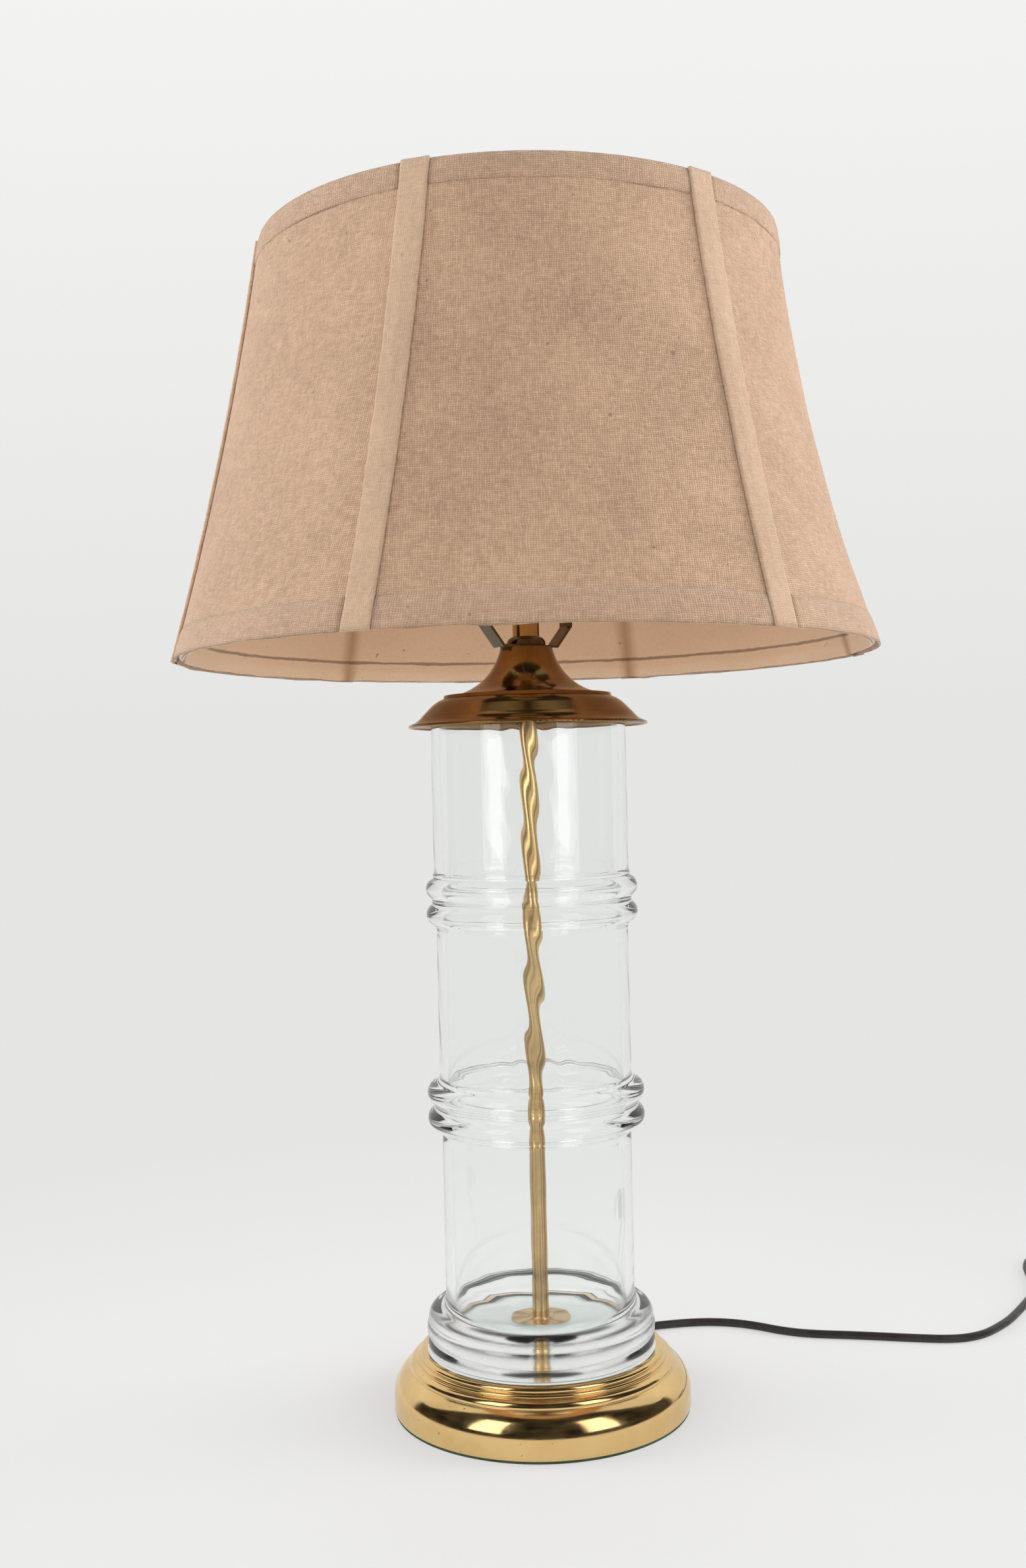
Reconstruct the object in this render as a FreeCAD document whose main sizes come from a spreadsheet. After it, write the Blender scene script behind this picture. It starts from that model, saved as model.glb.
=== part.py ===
import FreeCAD, Part
import math
import os
import Sketcher
from FreeCAD import Placement, Rotation, Vector

# A table lamp. A ringed column of clear glass stands on a spun brass base, and a spun cap closes it.
# A brass pipe down the middle clamps the stack. Above the cap come the harp, the socket and a
# six-panel cloth shade. All lengths are in millimetres. The origin is on the table, on the lamp's
# axis. +Z is up, -Y is the front.

SIZES = {
    # base
    "felt_set_in": 0.6,
    "felt_thickness": 1.5,
    "base_radius": 87.4,
    "base_side_height": 10.0,
    "base_shoulder_radius": 17.0,
    "base_seat_radius": 69.2,
    "base_height": 35.2,
    "base_wall": 1.2,
    "weight_radius": 68.0,
    "weight_underside": 12.0,
    "weight_recess_radius": 17.0,
    "washer_radius": 13.0,
    "washer_thickness": 1.5,
    "nut_thickness": 6.0,
    "nut_across_flats": 17.0,
    "nut_to_pipe_end": 2.0,
    # pipe that clamps the stack
    "pipe_radius": 4.75,
    "pipe_bore_radius": 3.55,
    "pipe_fit": 0.1,
    "pipe_above_neck": 9.0,
    # glass column
    "cushion_thickness": 0.8,
    "foot_radius": 66.9,
    "foot_height": 24.5,
    "glass_floor": 14.0,
    "glass_hole_radius": 5.6,
    "glass_height": 373.0,
    "glass_low_radius": 55.8,
    "glass_middle_radius": 56.6,
    "glass_top_radius": 57.6,
    "glass_wall": 5.4,
    "low_ring_height": 142.2,
    "low_ring_radius": 64.0,
    "high_ring_height": 262.0,
    "high_ring_radius": 62.5,
    "ring_bead_spacing": 16.8,
    "ring_groove_depth": 3.6,
    "disc_radius": 17.6,
    "disc_thickness": 1.6,
    # cap
    "cap_radius": 70.6,
    "cap_overlap": 8.8,
    "cap_slope_height": 16.4,
    "cap_step_radius": 49.6,
    "cap_step_height": 18.6,
    "cap_neck_radius": 15.4,
    "cap_height": 46.5,
    "cap_wall": 1.2,
    # neck and saddle
    "saddle_thickness": 1.5,
    "saddle_width": 12.0,
    "saddle_flat": 18.0,
    "saddle_span": 28.0,
    "saddle_rise": 13.0,
    "saddle_shoulder": 17.0,
    "saddle_tab_width": 4.6,
    "saddle_tab_height": 8.0,
    "collar_radius": 11.5,
    "collar_height": 5.0,
    "neck_radius": 7.9,
    "neck_wall": 0.8,
    "neck_length": 22.0,
    # harp
    "harp_turn": 30.0,
    "harp_height": 219.3,
    "harp_half_width_bend": 50.0,
    "harp_wire_radius": 2.2,
    "harp_top_flat": 7.0,
    "harp_foot_radius": 2.6,
    "harp_foot_length": 11.0,
    "sleeve_wall": 0.8,
    "sleeve_length": 14.0,
    "slide_gap": 0.3,
    "stud_radius": 3.1,
    "stud_height": 13.0,
    "stud_plate_radius": 6.5,
    "stud_plate_thickness": 2.0,
    # socket
    "socket_radius": 19.2,
    "socket_wall": 0.6,
    "socket_cap_height": 22.0,
    "socket_cap_wall": 0.8,
    "socket_length": 49.0,
    "socket_fit": 0.2,
    "insulator_wall": 0.6,
    "core_below": 13.8,
    "core_height": 23.0,
    "core_flat": 15.2,
    "screw_shell_radius": 13.95,
    "screw_shell_wall": 0.5,
    "contact_radius": 3.5,
    "contact_height": 2.8,
    "terminal_radius": 2.6,
    "terminal_height": 1.6,
    "knob_height": 11.0,
    "spindle_radius": 2.0,
    "knob_radius": 6.0,
    "knob_length": 9.0,
    "knob_reach": 26.0,
    # bulb
    "bulb_radius": 30.0,
    "bulb_length": 105.0,
    "bulb_base_radius": 13.15,
    "bulb_base_length": 22.2,
    "bulb_wall": 0.8,
    # shade
    "shade_height": 240.6,
    "shade_top_radius": 149.0,
    "shade_bottom_radius": 200.7,
    "shade_wire_radius": 1.5,
    "rib_turn": -22.0,
    "rib_sag": 2.8,
    "panel_sag": 5.4,
    "cloth_thickness": 1.2,
    "lining_thickness": 0.7,
    "cloth_gap": 0.15,
    "trim_width": 15.5,
    "trim_thickness": 1.9,
    "hem_thickness": 0.8,
    "top_hem_width": 14.0,
    "bottom_hem_width": 17.0,
    "spider_drop": 13.4,
    "lining_notch": 4.4,
    "hub_radius": 11.0,
    "hub_thickness": 1.2,
    # finial
    "finial_radius": 8.6,
    "finial_height": 28.0,
    "finial_base_radius": 6.8,
    # cord
    "cord_diameter": 5.2,
    "cord_exit_turn": -25.0,
    "cord_exit_height": 7.5,
    "grommet_flange_radius": 6.0,
    "grommet_flange_thickness": 2.0,
    "coil_centre_x": 414.0,
    "coil_centre_y": 233.0,
    "coil_middle_radius": 27.4,
    "coil_start_angle": 120.0,
    "plug_width": 24.0,
    "plug_thickness": 15.0,
    "plug_length": 22.0,
    "plug_neck_length": 9.0,
    "blade_length": 17.0,
    "blade_width": 6.35,
    "blade_thickness": 1.6,
    "blade_spacing": 12.7,
}

RIB_COUNT = 6
SPIDER_ARMS = 3
BASE_BEADS = 3
COIL_TURNS = 7 + 1 / 3

# The cord's route over the table after it leaves the base, and its tail from the coil to the plug.
CORD_ROUTE = [
    (44.2, 94.8, 5.9),
    (54.5, 108.0, 3.8),
    (69.5, 117.6, 2.8),
    (90.5, 123.6, 2.6),
    (111.0, 126.0, 2.6),
    (129.0, 123.0, 2.6),
    (144.0, 116.2, 2.6),
    (158.5, 105.6, 2.6),
    (176.0, 98.0, 2.6),
    (206.0, 93.6, 2.6),
    (240.0, 86.2, 2.6),
    (268.0, 81.8, 2.6),
    (287.0, 89.0, 2.6),
    (301.0, 102.5, 2.6),
    (313.5, 117.0, 2.6),
    (326.0, 136.0, 2.6),
    (337.6, 154.6, 2.6),
    (347.5, 172.5, 2.6),
    (353.8, 191.0, 2.6),
    (356.2, 209.8, 2.6),
    (359.8, 228.0, 2.6),
    (366.3, 244.0, 2.6),
]
TAIL_STEPS = [(16.0, 0.0), (33.0, 2.0), (49.0, 6.5), (62.0, 12.0)]

document = FreeCAD.newDocument("table_lamp")
sheet = document.addObject("Spreadsheet::Sheet", "Sizes")
for row, (alias, number) in enumerate(SIZES.items(), start=1):
    sheet.set(f"A{row}", alias)
    sheet.set(f"B{row}", str(number))
    sheet.setAlias(f"B{row}", alias)
document.recompute()


class Size:
    """A number together with the sheet formula that gives it."""

    def __init__(self, number, formula):
        self.number = number
        self.formula = formula

    def __add__(self, other):
        return joined(self, "+", other)

    def __radd__(self, other):
        return joined(other, "+", self)

    def __sub__(self, other):
        return joined(self, "-", other)

    def __rsub__(self, other):
        return joined(other, "-", self)

    def __mul__(self, other):
        return joined(self, "*", other)

    def __rmul__(self, other):
        return joined(other, "*", self)

    def __neg__(self):
        return joined(0, "-", self)


def as_size(value):
    return value if isinstance(value, Size) else Size(float(value), f"({float(value)!r})")


def joined(left, sign, right):
    left, right = as_size(left), as_size(right)
    numbers = {
        "+": left.number + right.number,
        "-": left.number - right.number,
        "*": left.number * right.number,
    }
    return Size(numbers[sign], f"({left.formula} {sign} {right.formula})")


def size(alias):
    return Size(float(sheet.get(alias)), f"Sizes.{alias}")


def between(start, end, share):
    """The value that lies this share of the way from start to end."""
    return start + (end - start) * share


def number(alias):
    return float(sheet.get(alias))


# Heights that several pieces share, from the table up.
base_inside_top = size("base_height") - size("base_wall")
washer_top = base_inside_top - 5.5
nut_top = washer_top - size("washer_thickness")
nut_bottom = nut_top - size("nut_thickness")
pipe_bottom = nut_bottom - size("nut_to_pipe_end")
glass_bottom = size("base_height") + size("cushion_thickness")
glass_floor_top = glass_bottom + size("glass_floor")
glass_top = glass_bottom + size("glass_height")
cap_bottom = glass_top - size("cap_overlap")
cap_top = cap_bottom + size("cap_height")
collar_bottom = cap_top + size("saddle_thickness")
neck_bottom = collar_bottom + size("collar_height")
neck_top = neck_bottom + size("neck_length")
core_bottom = neck_top + size("core_below")
core_top = core_bottom + size("core_height")
spindle_height = core_bottom + size("knob_height")
contact_top = core_top + size("contact_height")
bulb_bottom = contact_top + size("slide_gap")
bulb_top = bulb_bottom + size("bulb_length")
shelf = cap_top + size("harp_height")
hub_top = shelf + size("hub_thickness")
top_ring_height = shelf + size("spider_drop")
shade_top = top_ring_height + size("shade_wire_radius") + size("cloth_gap")
shade_bottom = shade_top - size("shade_height")
bottom_ring_height = shade_bottom + size("shade_wire_radius") + size("cloth_thickness")

pipe_hole = size("pipe_radius") + size("pipe_fit")

# The slope inside the cap that the cushion on the glass seats against.
slope_foot_radius = size("cap_radius") - 7.7
slope_foot_height = cap_bottom + 6.7
slope_head_radius = slope_foot_radius - 5.4
slope_head_height = slope_foot_height + 5.4

sub_parts = []


def keep(item, label):
    item.Label = label
    sub_parts.append(item)
    return item


def origin_plane(body, role):
    return [feature for feature in body.Origin.OriginFeatures if feature.Role == role][0]


def pin_point(sketch, geometry, position, point):
    """Fixes one sketch point to its two sizes."""
    for kind, axis, value in (("DistanceX", -2, point[0]), ("DistanceY", -1, point[1])):
        value = as_size(value)
        if abs(value.number) < 1e-9:
            sketch.addConstraint(Sketcher.Constraint("PointOnObject", geometry, position, axis))
            continue
        index = sketch.addConstraint(
            Sketcher.Constraint(kind, geometry, position, value.number)
        )
        sketch.setExpression(f"Constraints[{index}]", value.formula)


def flat(point):
    return Vector(as_size(point[0]).number, as_size(point[1]).number, 0)


def draw_outline(sketch, steps):
    """Draws a closed outline. A step is a point to draw a line to, or a pair of points: an arc
    through the first that ends at the second. The last point joins the first by a line."""
    ends = [step[1] if isinstance(step[0], tuple) else step for step in steps]
    sides = []
    for place, step in enumerate(steps[1:] + [ends[0]], start=1):
        start, end = flat(ends[place - 1]), flat(ends[place % len(ends)])
        if isinstance(step[0], tuple):
            via = flat(step[0])
            turns_left = (via - start).cross(end - via).z > 0
            side = sketch.addGeometry(Part.Arc(start, via, end), False)
            middle = sketch.addGeometry(Part.Point(via), True)
            sketch.addConstraint(Sketcher.Constraint("PointOnObject", middle, 1, side))
            pin_point(sketch, middle, 1, step[0])
            sides.append((side, 1, 2) if turns_left else (side, 2, 1))
        else:
            sides.append((sketch.addGeometry(Part.LineSegment(start, end), False), 1, 2))
    for place, (side, first, last) in enumerate(sides):
        following, following_first, _ = sides[(place + 1) % len(sides)]
        sketch.addConstraint(
            Sketcher.Constraint("Coincident", side, last, following, following_first)
        )
        pin_point(sketch, side, first, ends[place])


def draw_circle(sketch, centre, radius):
    radius = as_size(radius)
    circle = sketch.addGeometry(Part.Circle(flat(centre), Vector(0, 0, 1), radius.number), False)
    pin_point(sketch, circle, 3, centre)
    index = sketch.addConstraint(Sketcher.Constraint("Radius", circle, radius.number))
    sketch.setExpression(f"Constraints[{index}]", radius.formula)


def add_sketch(body, name, role, offset=None):
    sketch = body.newObject("Sketcher::SketchObject", name)
    sketch.AttachmentSupport = (origin_plane(body, role), [""])
    sketch.MapMode = "FlatFace"
    if offset is not None:
        sketch.AttachmentOffset = Placement(Vector(0, 0, offset.number), Rotation())
        sketch.setExpression("AttachmentOffset.Base.z", offset.formula)
    return sketch


def new_body(label):
    return keep(document.addObject("PartDesign::Body", label), label)


def turn_about_axis(body, steps, name="turned", role="XZ_Plane", offset=None):
    """Turns an outline of (radius, height) steps round the body's axis."""
    sketch = add_sketch(body, f"{body.Label}_{name}_outline", role, offset)
    draw_outline(sketch, steps)
    turn = body.newObject("PartDesign::Revolution", f"{body.Label}_{name}")
    turn.Profile = sketch
    turn.ReferenceAxis = (sketch, ["V_Axis"])
    turn.Angle = 360
    document.recompute()
    return turn


def turned_body(label, steps):
    body = new_body(label)
    turn_about_axis(body, steps)
    return body


def cut_through(body, name, role, draw, both_ways=True, depth=None, offset=None, reverse=False):
    """Cuts a drawn shape out of a body and makes sure that it took something away."""
    before = body.Shape.Volume
    sketch = add_sketch(body, f"{body.Label}_{name}_outline", role, offset)
    draw(sketch)
    pocket = body.newObject("PartDesign::Pocket", f"{body.Label}_{name}")
    pocket.Profile = sketch
    pocket.Reversed = reverse
    pocket.Midplane = both_ways
    if depth is None:
        pocket.Type = 1
    else:
        depth = as_size(depth)
        pocket.Length = depth.number
        pocket.setExpression("Length", depth.formula)
    document.recompute()
    if body.Shape.Volume >= before - 1e-6:
        raise RuntimeError(f"{name} cut nothing out of {body.Label}")
    return pocket


def pad(body, name, role, draw, length, both_ways=False, offset=None, reverse=False):
    sketch = add_sketch(body, f"{body.Label}_{name}_outline", role, offset)
    draw(sketch)
    feature = body.newObject("PartDesign::Pad", f"{body.Label}_{name}")
    feature.Profile = sketch
    feature.Midplane = both_ways
    feature.Reversed = reverse
    length = as_size(length)
    feature.Length = length.number
    feature.setExpression("Length", length.formula)
    document.recompute()
    return feature


def turn_piece(item, alias, extra=0.0):
    """Turns a finished piece about the lamp's axis by a named angle, in degrees."""
    angle = size(alias) + extra
    item.Placement = Placement(Vector(), Rotation(Vector(0, 0, 1), angle.number))
    item.setExpression("Placement.Rotation.Angle", f"{angle.formula} * 1 deg")


def shape_piece(label, shape, placement=None):
    """A piece whose shape is worked out from the sheet by this file's own functions."""
    item = document.addObject("Part::Feature", label)
    item.Shape = shape
    if placement is not None:
        item.Placement = placement
    return keep(item, label)


def ring_piece(label, inner, outer, low, high):
    """A plain washer, sleeve or ring of rectangular section."""
    return turned_body(label, [(inner, low), (outer, low), (outer, high), (inner, high)])


# ---------------------------------------------------------------- base


def build_felt_pad():
    edge = size("base_radius") - size("felt_set_in")
    ring_piece("felt_pad", 4.0, edge, 0, size("felt_thickness"))


def base_shoulder(offset):
    """The round shoulder's arc, moved in by an offset: its foot, middle and head."""
    radius = size("base_shoulder_radius") - offset
    centre = size("base_radius") - size("base_shoulder_radius")
    rise = size("base_side_height")

    def place(angle):
        turn = math.radians(angle)
        return (centre + radius * math.cos(turn), rise + radius * math.sin(turn))

    return place(0), place(29), place(58)


def build_base_shell():
    wall = size("base_wall")
    foot, middle, head = base_shoulder(0)
    step_start = (head[0] - 0.9, head[1] + 0.2)
    run = (step_start[0] - size("base_seat_radius")) * (1 / BASE_BEADS)
    rise = (size("base_height") - step_start[1]) * (1 / BASE_BEADS)
    steps = [(size("base_radius"), size("felt_thickness")), foot, (middle, head), step_start]
    for bead in range(BASE_BEADS):
        outer = step_start[0] - run * bead
        low = step_start[1] + rise * bead
        steps.append(((outer - run * 0.12, low + rise * 0.62), (outer - run * 0.66, low + rise)))
        steps.append((outer - run, low + rise))
    inner_foot, inner_middle, inner_head = base_shoulder(wall)
    steps += [
        (pipe_hole, size("base_height")),
        (pipe_hole, base_inside_top),
        (size("base_seat_radius") - wall * 2, base_inside_top),
        inner_head,
        (inner_middle, inner_foot),
        (size("base_radius") - wall, size("felt_thickness")),
    ]
    body = turned_body("base_shell", steps)
    cut_through(
        body,
        "cord_hole",
        "XZ_Plane",
        lambda sketch: draw_circle(
            sketch,
            (0, size("cord_exit_height")),
            size("grommet_flange_radius") - 1.4,
        ),
        both_ways=False,
        reverse=False,
    )
    turn_piece(body, "cord_exit_turn")


def build_base_weight():
    outer = size("weight_radius")
    turned_body(
        "base_weight",
        [
            (pipe_hole, washer_top),
            (size("weight_recess_radius"), washer_top),
            (size("weight_recess_radius"), size("weight_underside")),
            (outer, size("weight_underside")),
            (outer, base_inside_top - 4.0),
            (outer - 4.0, base_inside_top),
            (pipe_hole, base_inside_top),
        ],
    )


def build_base_washer():
    ring_piece("base_washer", pipe_hole, size("washer_radius"), nut_top, washer_top)


def build_base_nut():
    body = new_body("base_nut")
    corner = size("nut_across_flats") * (1 / math.sqrt(3))

    def hexagon(sketch):
        turns = [math.radians(60 * side) for side in range(6)]
        draw_outline(sketch, [(corner * math.cos(a), corner * math.sin(a)) for a in turns])

    pad(body, "flats", "XY_Plane", hexagon, size("nut_thickness"), offset=nut_bottom)
    cut_through(
        body, "bore", "XY_Plane", lambda sketch: draw_circle(sketch, (0, 0), pipe_hole)
    )


def build_cord_grommet():
    body = new_body("cord_grommet")
    bore = size("cord_diameter") * 0.5 + 0.1
    flange = size("grommet_flange_radius")
    barrel = flange - 1.5
    outside = size("base_radius") + 0.1
    inside = size("base_radius") - size("base_wall") - 0.5
    turn_about_axis(
        body,
        [
            (bore, inside - 1.5),
            (flange - 0.5, inside - 1.5),
            (flange - 0.5, inside),
            (barrel, inside),
            (barrel, outside),
            (flange, outside),
            ((flange - 0.3, outside + 1.4), (bore + 1.2, outside + size("grommet_flange_thickness"))),
            (bore, outside + size("grommet_flange_thickness")),
        ],
        role="XY_Plane",
        offset=size("cord_exit_height"),
    )
    turn_piece(body, "cord_exit_turn")


# ---------------------------------------------------------------- glass column


def build_base_cushion():
    outer = size("foot_radius") - 2.4
    ring_piece("base_cushion", outer - 9.0, outer, size("base_height"), glass_bottom)


def double_bead(middle, wall_below, wall_above, crest):
    """The two rounded rings that stand out of the column with a groove between them."""
    reach = size("ring_bead_spacing") * 0.5
    groove = crest - size("ring_groove_depth")
    low, high = middle - reach, middle + reach
    shoulder = crest - size("ring_groove_depth") * 1.2
    return [
        (wall_below, low - 8.6),
        ((wall_below + 0.7, low - 6.8), (between(wall_below, shoulder, 0.75), low - 5.4)),
        ((crest, low + 0.3), (groove + 0.7, middle - 2.0)),
        ((groove, middle), (groove + 0.7, middle + 2.0)),
        ((crest, high - 0.3), (between(wall_above, shoulder, 0.75), high + 5.4)),
        ((wall_above + 0.7, high + 6.8), (wall_above, high + 8.6)),
    ]


def inner_swell(middle, wall_below, wall_above):
    """The inside of the wall follows the rings softly, told from the top down."""
    return [
        (wall_above, middle + 19.0),
        ((between(wall_below, wall_above, 0.5) + 1.9, middle), (wall_below, middle - 19.0)),
    ]


def build_glass_column():
    wall = size("glass_wall")
    foot = size("foot_radius")
    foot_top = glass_bottom + size("foot_height")
    low_wall, middle_wall = size("glass_low_radius"), size("glass_middle_radius")
    high_wall = size("glass_top_radius")
    low_ring = glass_bottom + size("low_ring_height")
    high_ring = glass_bottom + size("high_ring_height")
    hole = size("glass_hole_radius")
    outside = [
        (hole, glass_bottom),
        (foot - 1.4, glass_bottom),
        ((foot, glass_bottom + 3.3), (foot - 1.0, glass_bottom + 6.7)),
        ((foot + 0.4, glass_bottom + 11.3), (foot - 0.8, glass_bottom + 16.0)),
        ((foot - 1.5, foot_top - 3.8), (low_wall + 4.4, foot_top - 0.4)),
        ((low_wall + 1.2, foot_top + 1.4), (low_wall, foot_top + 4.8)),
    ]
    outside += double_bead(low_ring, low_wall, middle_wall, size("low_ring_radius"))
    outside += double_bead(high_ring, middle_wall, high_wall, size("high_ring_radius"))
    outside += [
        (high_wall, glass_top - 4.0),
        ((high_wall + 0.2, glass_top - 1.2), (high_wall - 1.0, glass_top)),
        (high_wall - wall + 0.9, glass_top),
    ]
    inside = inner_swell(high_ring, middle_wall - wall, high_wall - wall)
    inside += inner_swell(low_ring, low_wall - wall, middle_wall - wall)
    inside += [
        (low_wall - wall, glass_floor_top + 4.6),
        ((low_wall - wall - 1.2, glass_floor_top + 1.3), (low_wall - wall - 4.4, glass_floor_top)),
        (hole, glass_floor_top),
    ]
    turned_body("glass_column", outside + inside)


def build_floor_disc():
    low, high = glass_floor_top, glass_floor_top + size("disc_thickness")
    edge = size("disc_radius")
    turned_body(
        "floor_disc",
        [
            (pipe_hole, low),
            (edge - 0.6, low),
            ((edge, between(low, high, 0.5)), (edge - 0.6, high)),
            (pipe_hole + 3.0, high),
            (pipe_hole + 2.4, high + 0.8),
            (pipe_hole, high + 0.8),
        ],
    )


def build_lamp_pipe():
    top = neck_top + size("pipe_above_neck")
    ring_piece("lamp_pipe", size("pipe_bore_radius"), size("pipe_radius"), pipe_bottom, top)


def build_cap_cushion():
    """A soft ring on the glass. Its upper side has the slope of the cap's inside."""
    set_in = size("cap_wall") * math.sqrt(2) + 0.1
    slope = slope_foot_radius + slope_foot_height - set_in
    outer = size("glass_top_radius") - 0.4
    inner = size("glass_top_radius") - size("glass_wall") + 0.9
    upper = slope - slope_head_radius + 1.4
    turned_body(
        "cap_cushion",
        [
            (inner, glass_top),
            (outer, glass_top),
            (outer, slope - outer),
            (slope - upper, upper),
            (inner, upper),
        ],
    )


# ---------------------------------------------------------------- cap, neck and harp


def build_top_cap():
    wall = size("cap_wall")
    rim = size("cap_radius")
    step_radius, step_height = size("cap_step_radius"), cap_bottom + size("cap_step_height")
    bulge_height = cap_bottom + size("cap_slope_height")
    neck = size("cap_neck_radius")
    flare_start = (step_radius - 3.4, step_height - 0.2)
    waist = (between(neck, flare_start[0], 0.43), between(step_height, cap_top, 0.25))
    outside = [
        (rim - 1.0, cap_bottom),
        (rim - 0.2, cap_bottom),
        ((rim + 0.1, cap_bottom + 0.8), (rim - 0.5, cap_bottom + 1.7)),
        ((rim - 4.3, cap_bottom + 3.5), (slope_foot_radius, slope_foot_height)),
        (slope_head_radius, slope_head_height),
        (
            (between(slope_head_radius, step_radius, 0.45), between(slope_head_height, bulge_height, 0.66)),
            (step_radius + 1.4, bulge_height),
        ),
        (step_radius + 0.4, bulge_height + 0.3),
        (step_radius, step_height),
        flare_start,
        (
            (between(flare_start[0], waist[0], 0.52), between(flare_start[1], waist[1], 0.33)),
            waist,
        ),
        ((between(waist[0], neck, 0.51), between(waist[1], cap_top, 0.33)), (neck, cap_top)),
        (pipe_hole, cap_top),
    ]
    inner_waist = (waist[0] - wall * 0.6, waist[1] - wall * 0.85)
    inner_start = (flare_start[0], flare_start[1] - wall)
    inside = [
        (pipe_hole, cap_top - wall),
        (neck - wall, cap_top - wall),
        (
            (
                between(waist[0], neck, 0.51) - wall * 0.8,
                between(waist[1], cap_top, 0.33) - wall * 0.7,
            ),
            inner_waist,
        ),
        (
            (
                between(flare_start[0], waist[0], 0.52) - wall * 0.35,
                between(flare_start[1], waist[1], 0.33) - wall,
            ),
            inner_start,
        ),
        (step_radius + 0.6, bulge_height - wall),
        (
            (
                between(slope_head_radius, step_radius, 0.45) - wall * 0.6,
                between(slope_head_height, bulge_height, 0.66) - wall,
            ),
            (slope_head_radius - wall * 0.7, slope_head_height - wall * 0.7),
        ),
        (slope_foot_radius - wall * 0.7, slope_foot_height - wall * 0.7),
        ((rim - 5.0, cap_bottom + 2.5), (rim - 1.5, cap_bottom + 0.9)),
    ]
    turned_body("top_cap", outside + inside)


SADDLE_LEAN = math.radians(52)


def saddle_side(turn):
    """The outer and inner corners of one leg of the saddle, on the side that turn (1 or -1) names."""
    thick = size("saddle_thickness")
    knee = size("saddle_span") + thick * 0.5
    slope = size("saddle_rise") * (1 / math.tan(SADDLE_LEAN))
    tip = cap_top + size("saddle_shoulder") + size("saddle_tab_height")
    outer = [
        (knee - slope, cap_top),
        (knee, cap_top + size("saddle_rise")),
        (knee, tip),
    ]
    inner = [
        (knee - thick, tip),
        (
            knee - thick,
            cap_top + size("saddle_rise") + thick * math.tan((math.pi / 2 - SADDLE_LEAN) / 2),
        ),
        (knee - slope - thick * math.tan(SADDLE_LEAN / 2), cap_top + thick),
    ]
    return [(place[0] * turn, place[1]) for place in outer + inner]


def build_harp_saddle():
    body = new_body("harp_saddle")
    right = saddle_side(1)
    left = saddle_side(-1)

    def bent_strip(sketch):
        draw_outline(sketch, right + left[::-1])

    pad(body, "strip", "XZ_Plane", bent_strip, size("saddle_width"), both_ways=True)
    cut_through(
        body, "pipe_hole", "XY_Plane", lambda sketch: draw_circle(sketch, (0, 0), pipe_hole)
    )
    shoulder = cap_top + size("saddle_shoulder")
    above = shoulder + size("saddle_tab_height") + 2.0
    for name, side in (("front_shoulder", 1), ("back_shoulder", -1)):
        near, far = size("saddle_tab_width") * 0.5 * side, (size("saddle_width") * 0.5 + 1.0) * side
        corners = [(near, shoulder), (far, shoulder), (far, above), (near, above)]
        cut_through(
            body, name, "YZ_Plane", lambda sketch, corners=corners: draw_outline(sketch, corners)
        )
    turn_piece(body, "harp_turn")


def build_neck_collar():
    foot, head = size("collar_radius"), size("neck_radius") + 0.4
    turned_body(
        "neck_collar",
        [
            (pipe_hole, collar_bottom),
            (foot, collar_bottom),
            (foot, collar_bottom + 0.8),
            (
                (between(foot, head, 0.3), between(collar_bottom, neck_bottom, 0.7)),
                (head, neck_bottom),
            ),
            (pipe_hole, neck_bottom),
        ],
    )


def build_neck_tube():
    outer = size("neck_radius")
    ring_piece("neck_tube", outer - size("neck_wall"), outer, neck_bottom, neck_top)


def harp_wire_edges():
    """The harp's bent wire: a foot, a flare, a long side and a tight shoulder on each side of a
    short flat top. The radii of the long side and the shoulder follow from the height and width."""
    foot_x = number("saddle_span")
    foot_z = (cap_top + size("saddle_shoulder") + size("saddle_tab_height")).number
    straight_z = foot_z + number("harp_foot_length")
    flat_x = number("harp_top_flat")
    top_z = shelf.number - number("stud_plate_thickness") - number("harp_wire_radius")
    flare = number("harp_half_width_bend")
    lean, close = math.radians(30), math.radians(20)
    flare_end = Vector(
        foot_x + flare * (1 - math.cos(lean)), 0, straight_z + flare * math.sin(lean)
    )
    # Two equations, for reaching the flat top's end across and up, give the two radii.
    across = (math.cos(close) - math.cos(lean), -math.cos(close), flat_x - flare_end.x)
    upward = (math.sin(lean) + math.sin(close), 1 - math.sin(close), top_z - flare_end.z)
    scale = across[0] * upward[1] - across[1] * upward[0]
    side_radius = (across[2] * upward[1] - across[1] * upward[2]) / scale
    shoulder_radius = (across[0] * upward[2] - across[2] * upward[0]) / scale
    side_centre = flare_end + Vector(-math.cos(lean), 0, math.sin(lean)) * side_radius
    side_end = side_centre + Vector(math.cos(close), 0, math.sin(close)) * side_radius
    shoulder_centre = side_end - Vector(math.cos(close), 0, math.sin(close)) * shoulder_radius
    middle = (close + math.pi / 2) / 2
    flare_centre = Vector(foot_x + flare, 0, straight_z)
    half = [
        ("line", Vector(foot_x, 0, foot_z), None, Vector(foot_x, 0, straight_z)),
        (
            "arc",
            Vector(foot_x, 0, straight_z),
            flare_centre + Vector(-math.cos(lean / 2), 0, math.sin(lean / 2)) * flare,
            flare_end,
        ),
        ("arc", flare_end, side_centre + direction_in_plane(-5) * side_radius, side_end),
        (
            "arc",
            side_end,
            shoulder_centre + Vector(math.cos(middle), 0, math.sin(middle)) * shoulder_radius,
            Vector(flat_x, 0, top_z),
        ),
    ]
    edges = [path_edge(*item) for item in half]
    edges.append(path_edge("line", Vector(flat_x, 0, top_z), None, Vector(-flat_x, 0, top_z)))
    for kind, start, via, end in reversed(half):
        edges.append(path_edge(kind, mirrored(end), mirrored(via), mirrored(start)))
    return edges


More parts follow.
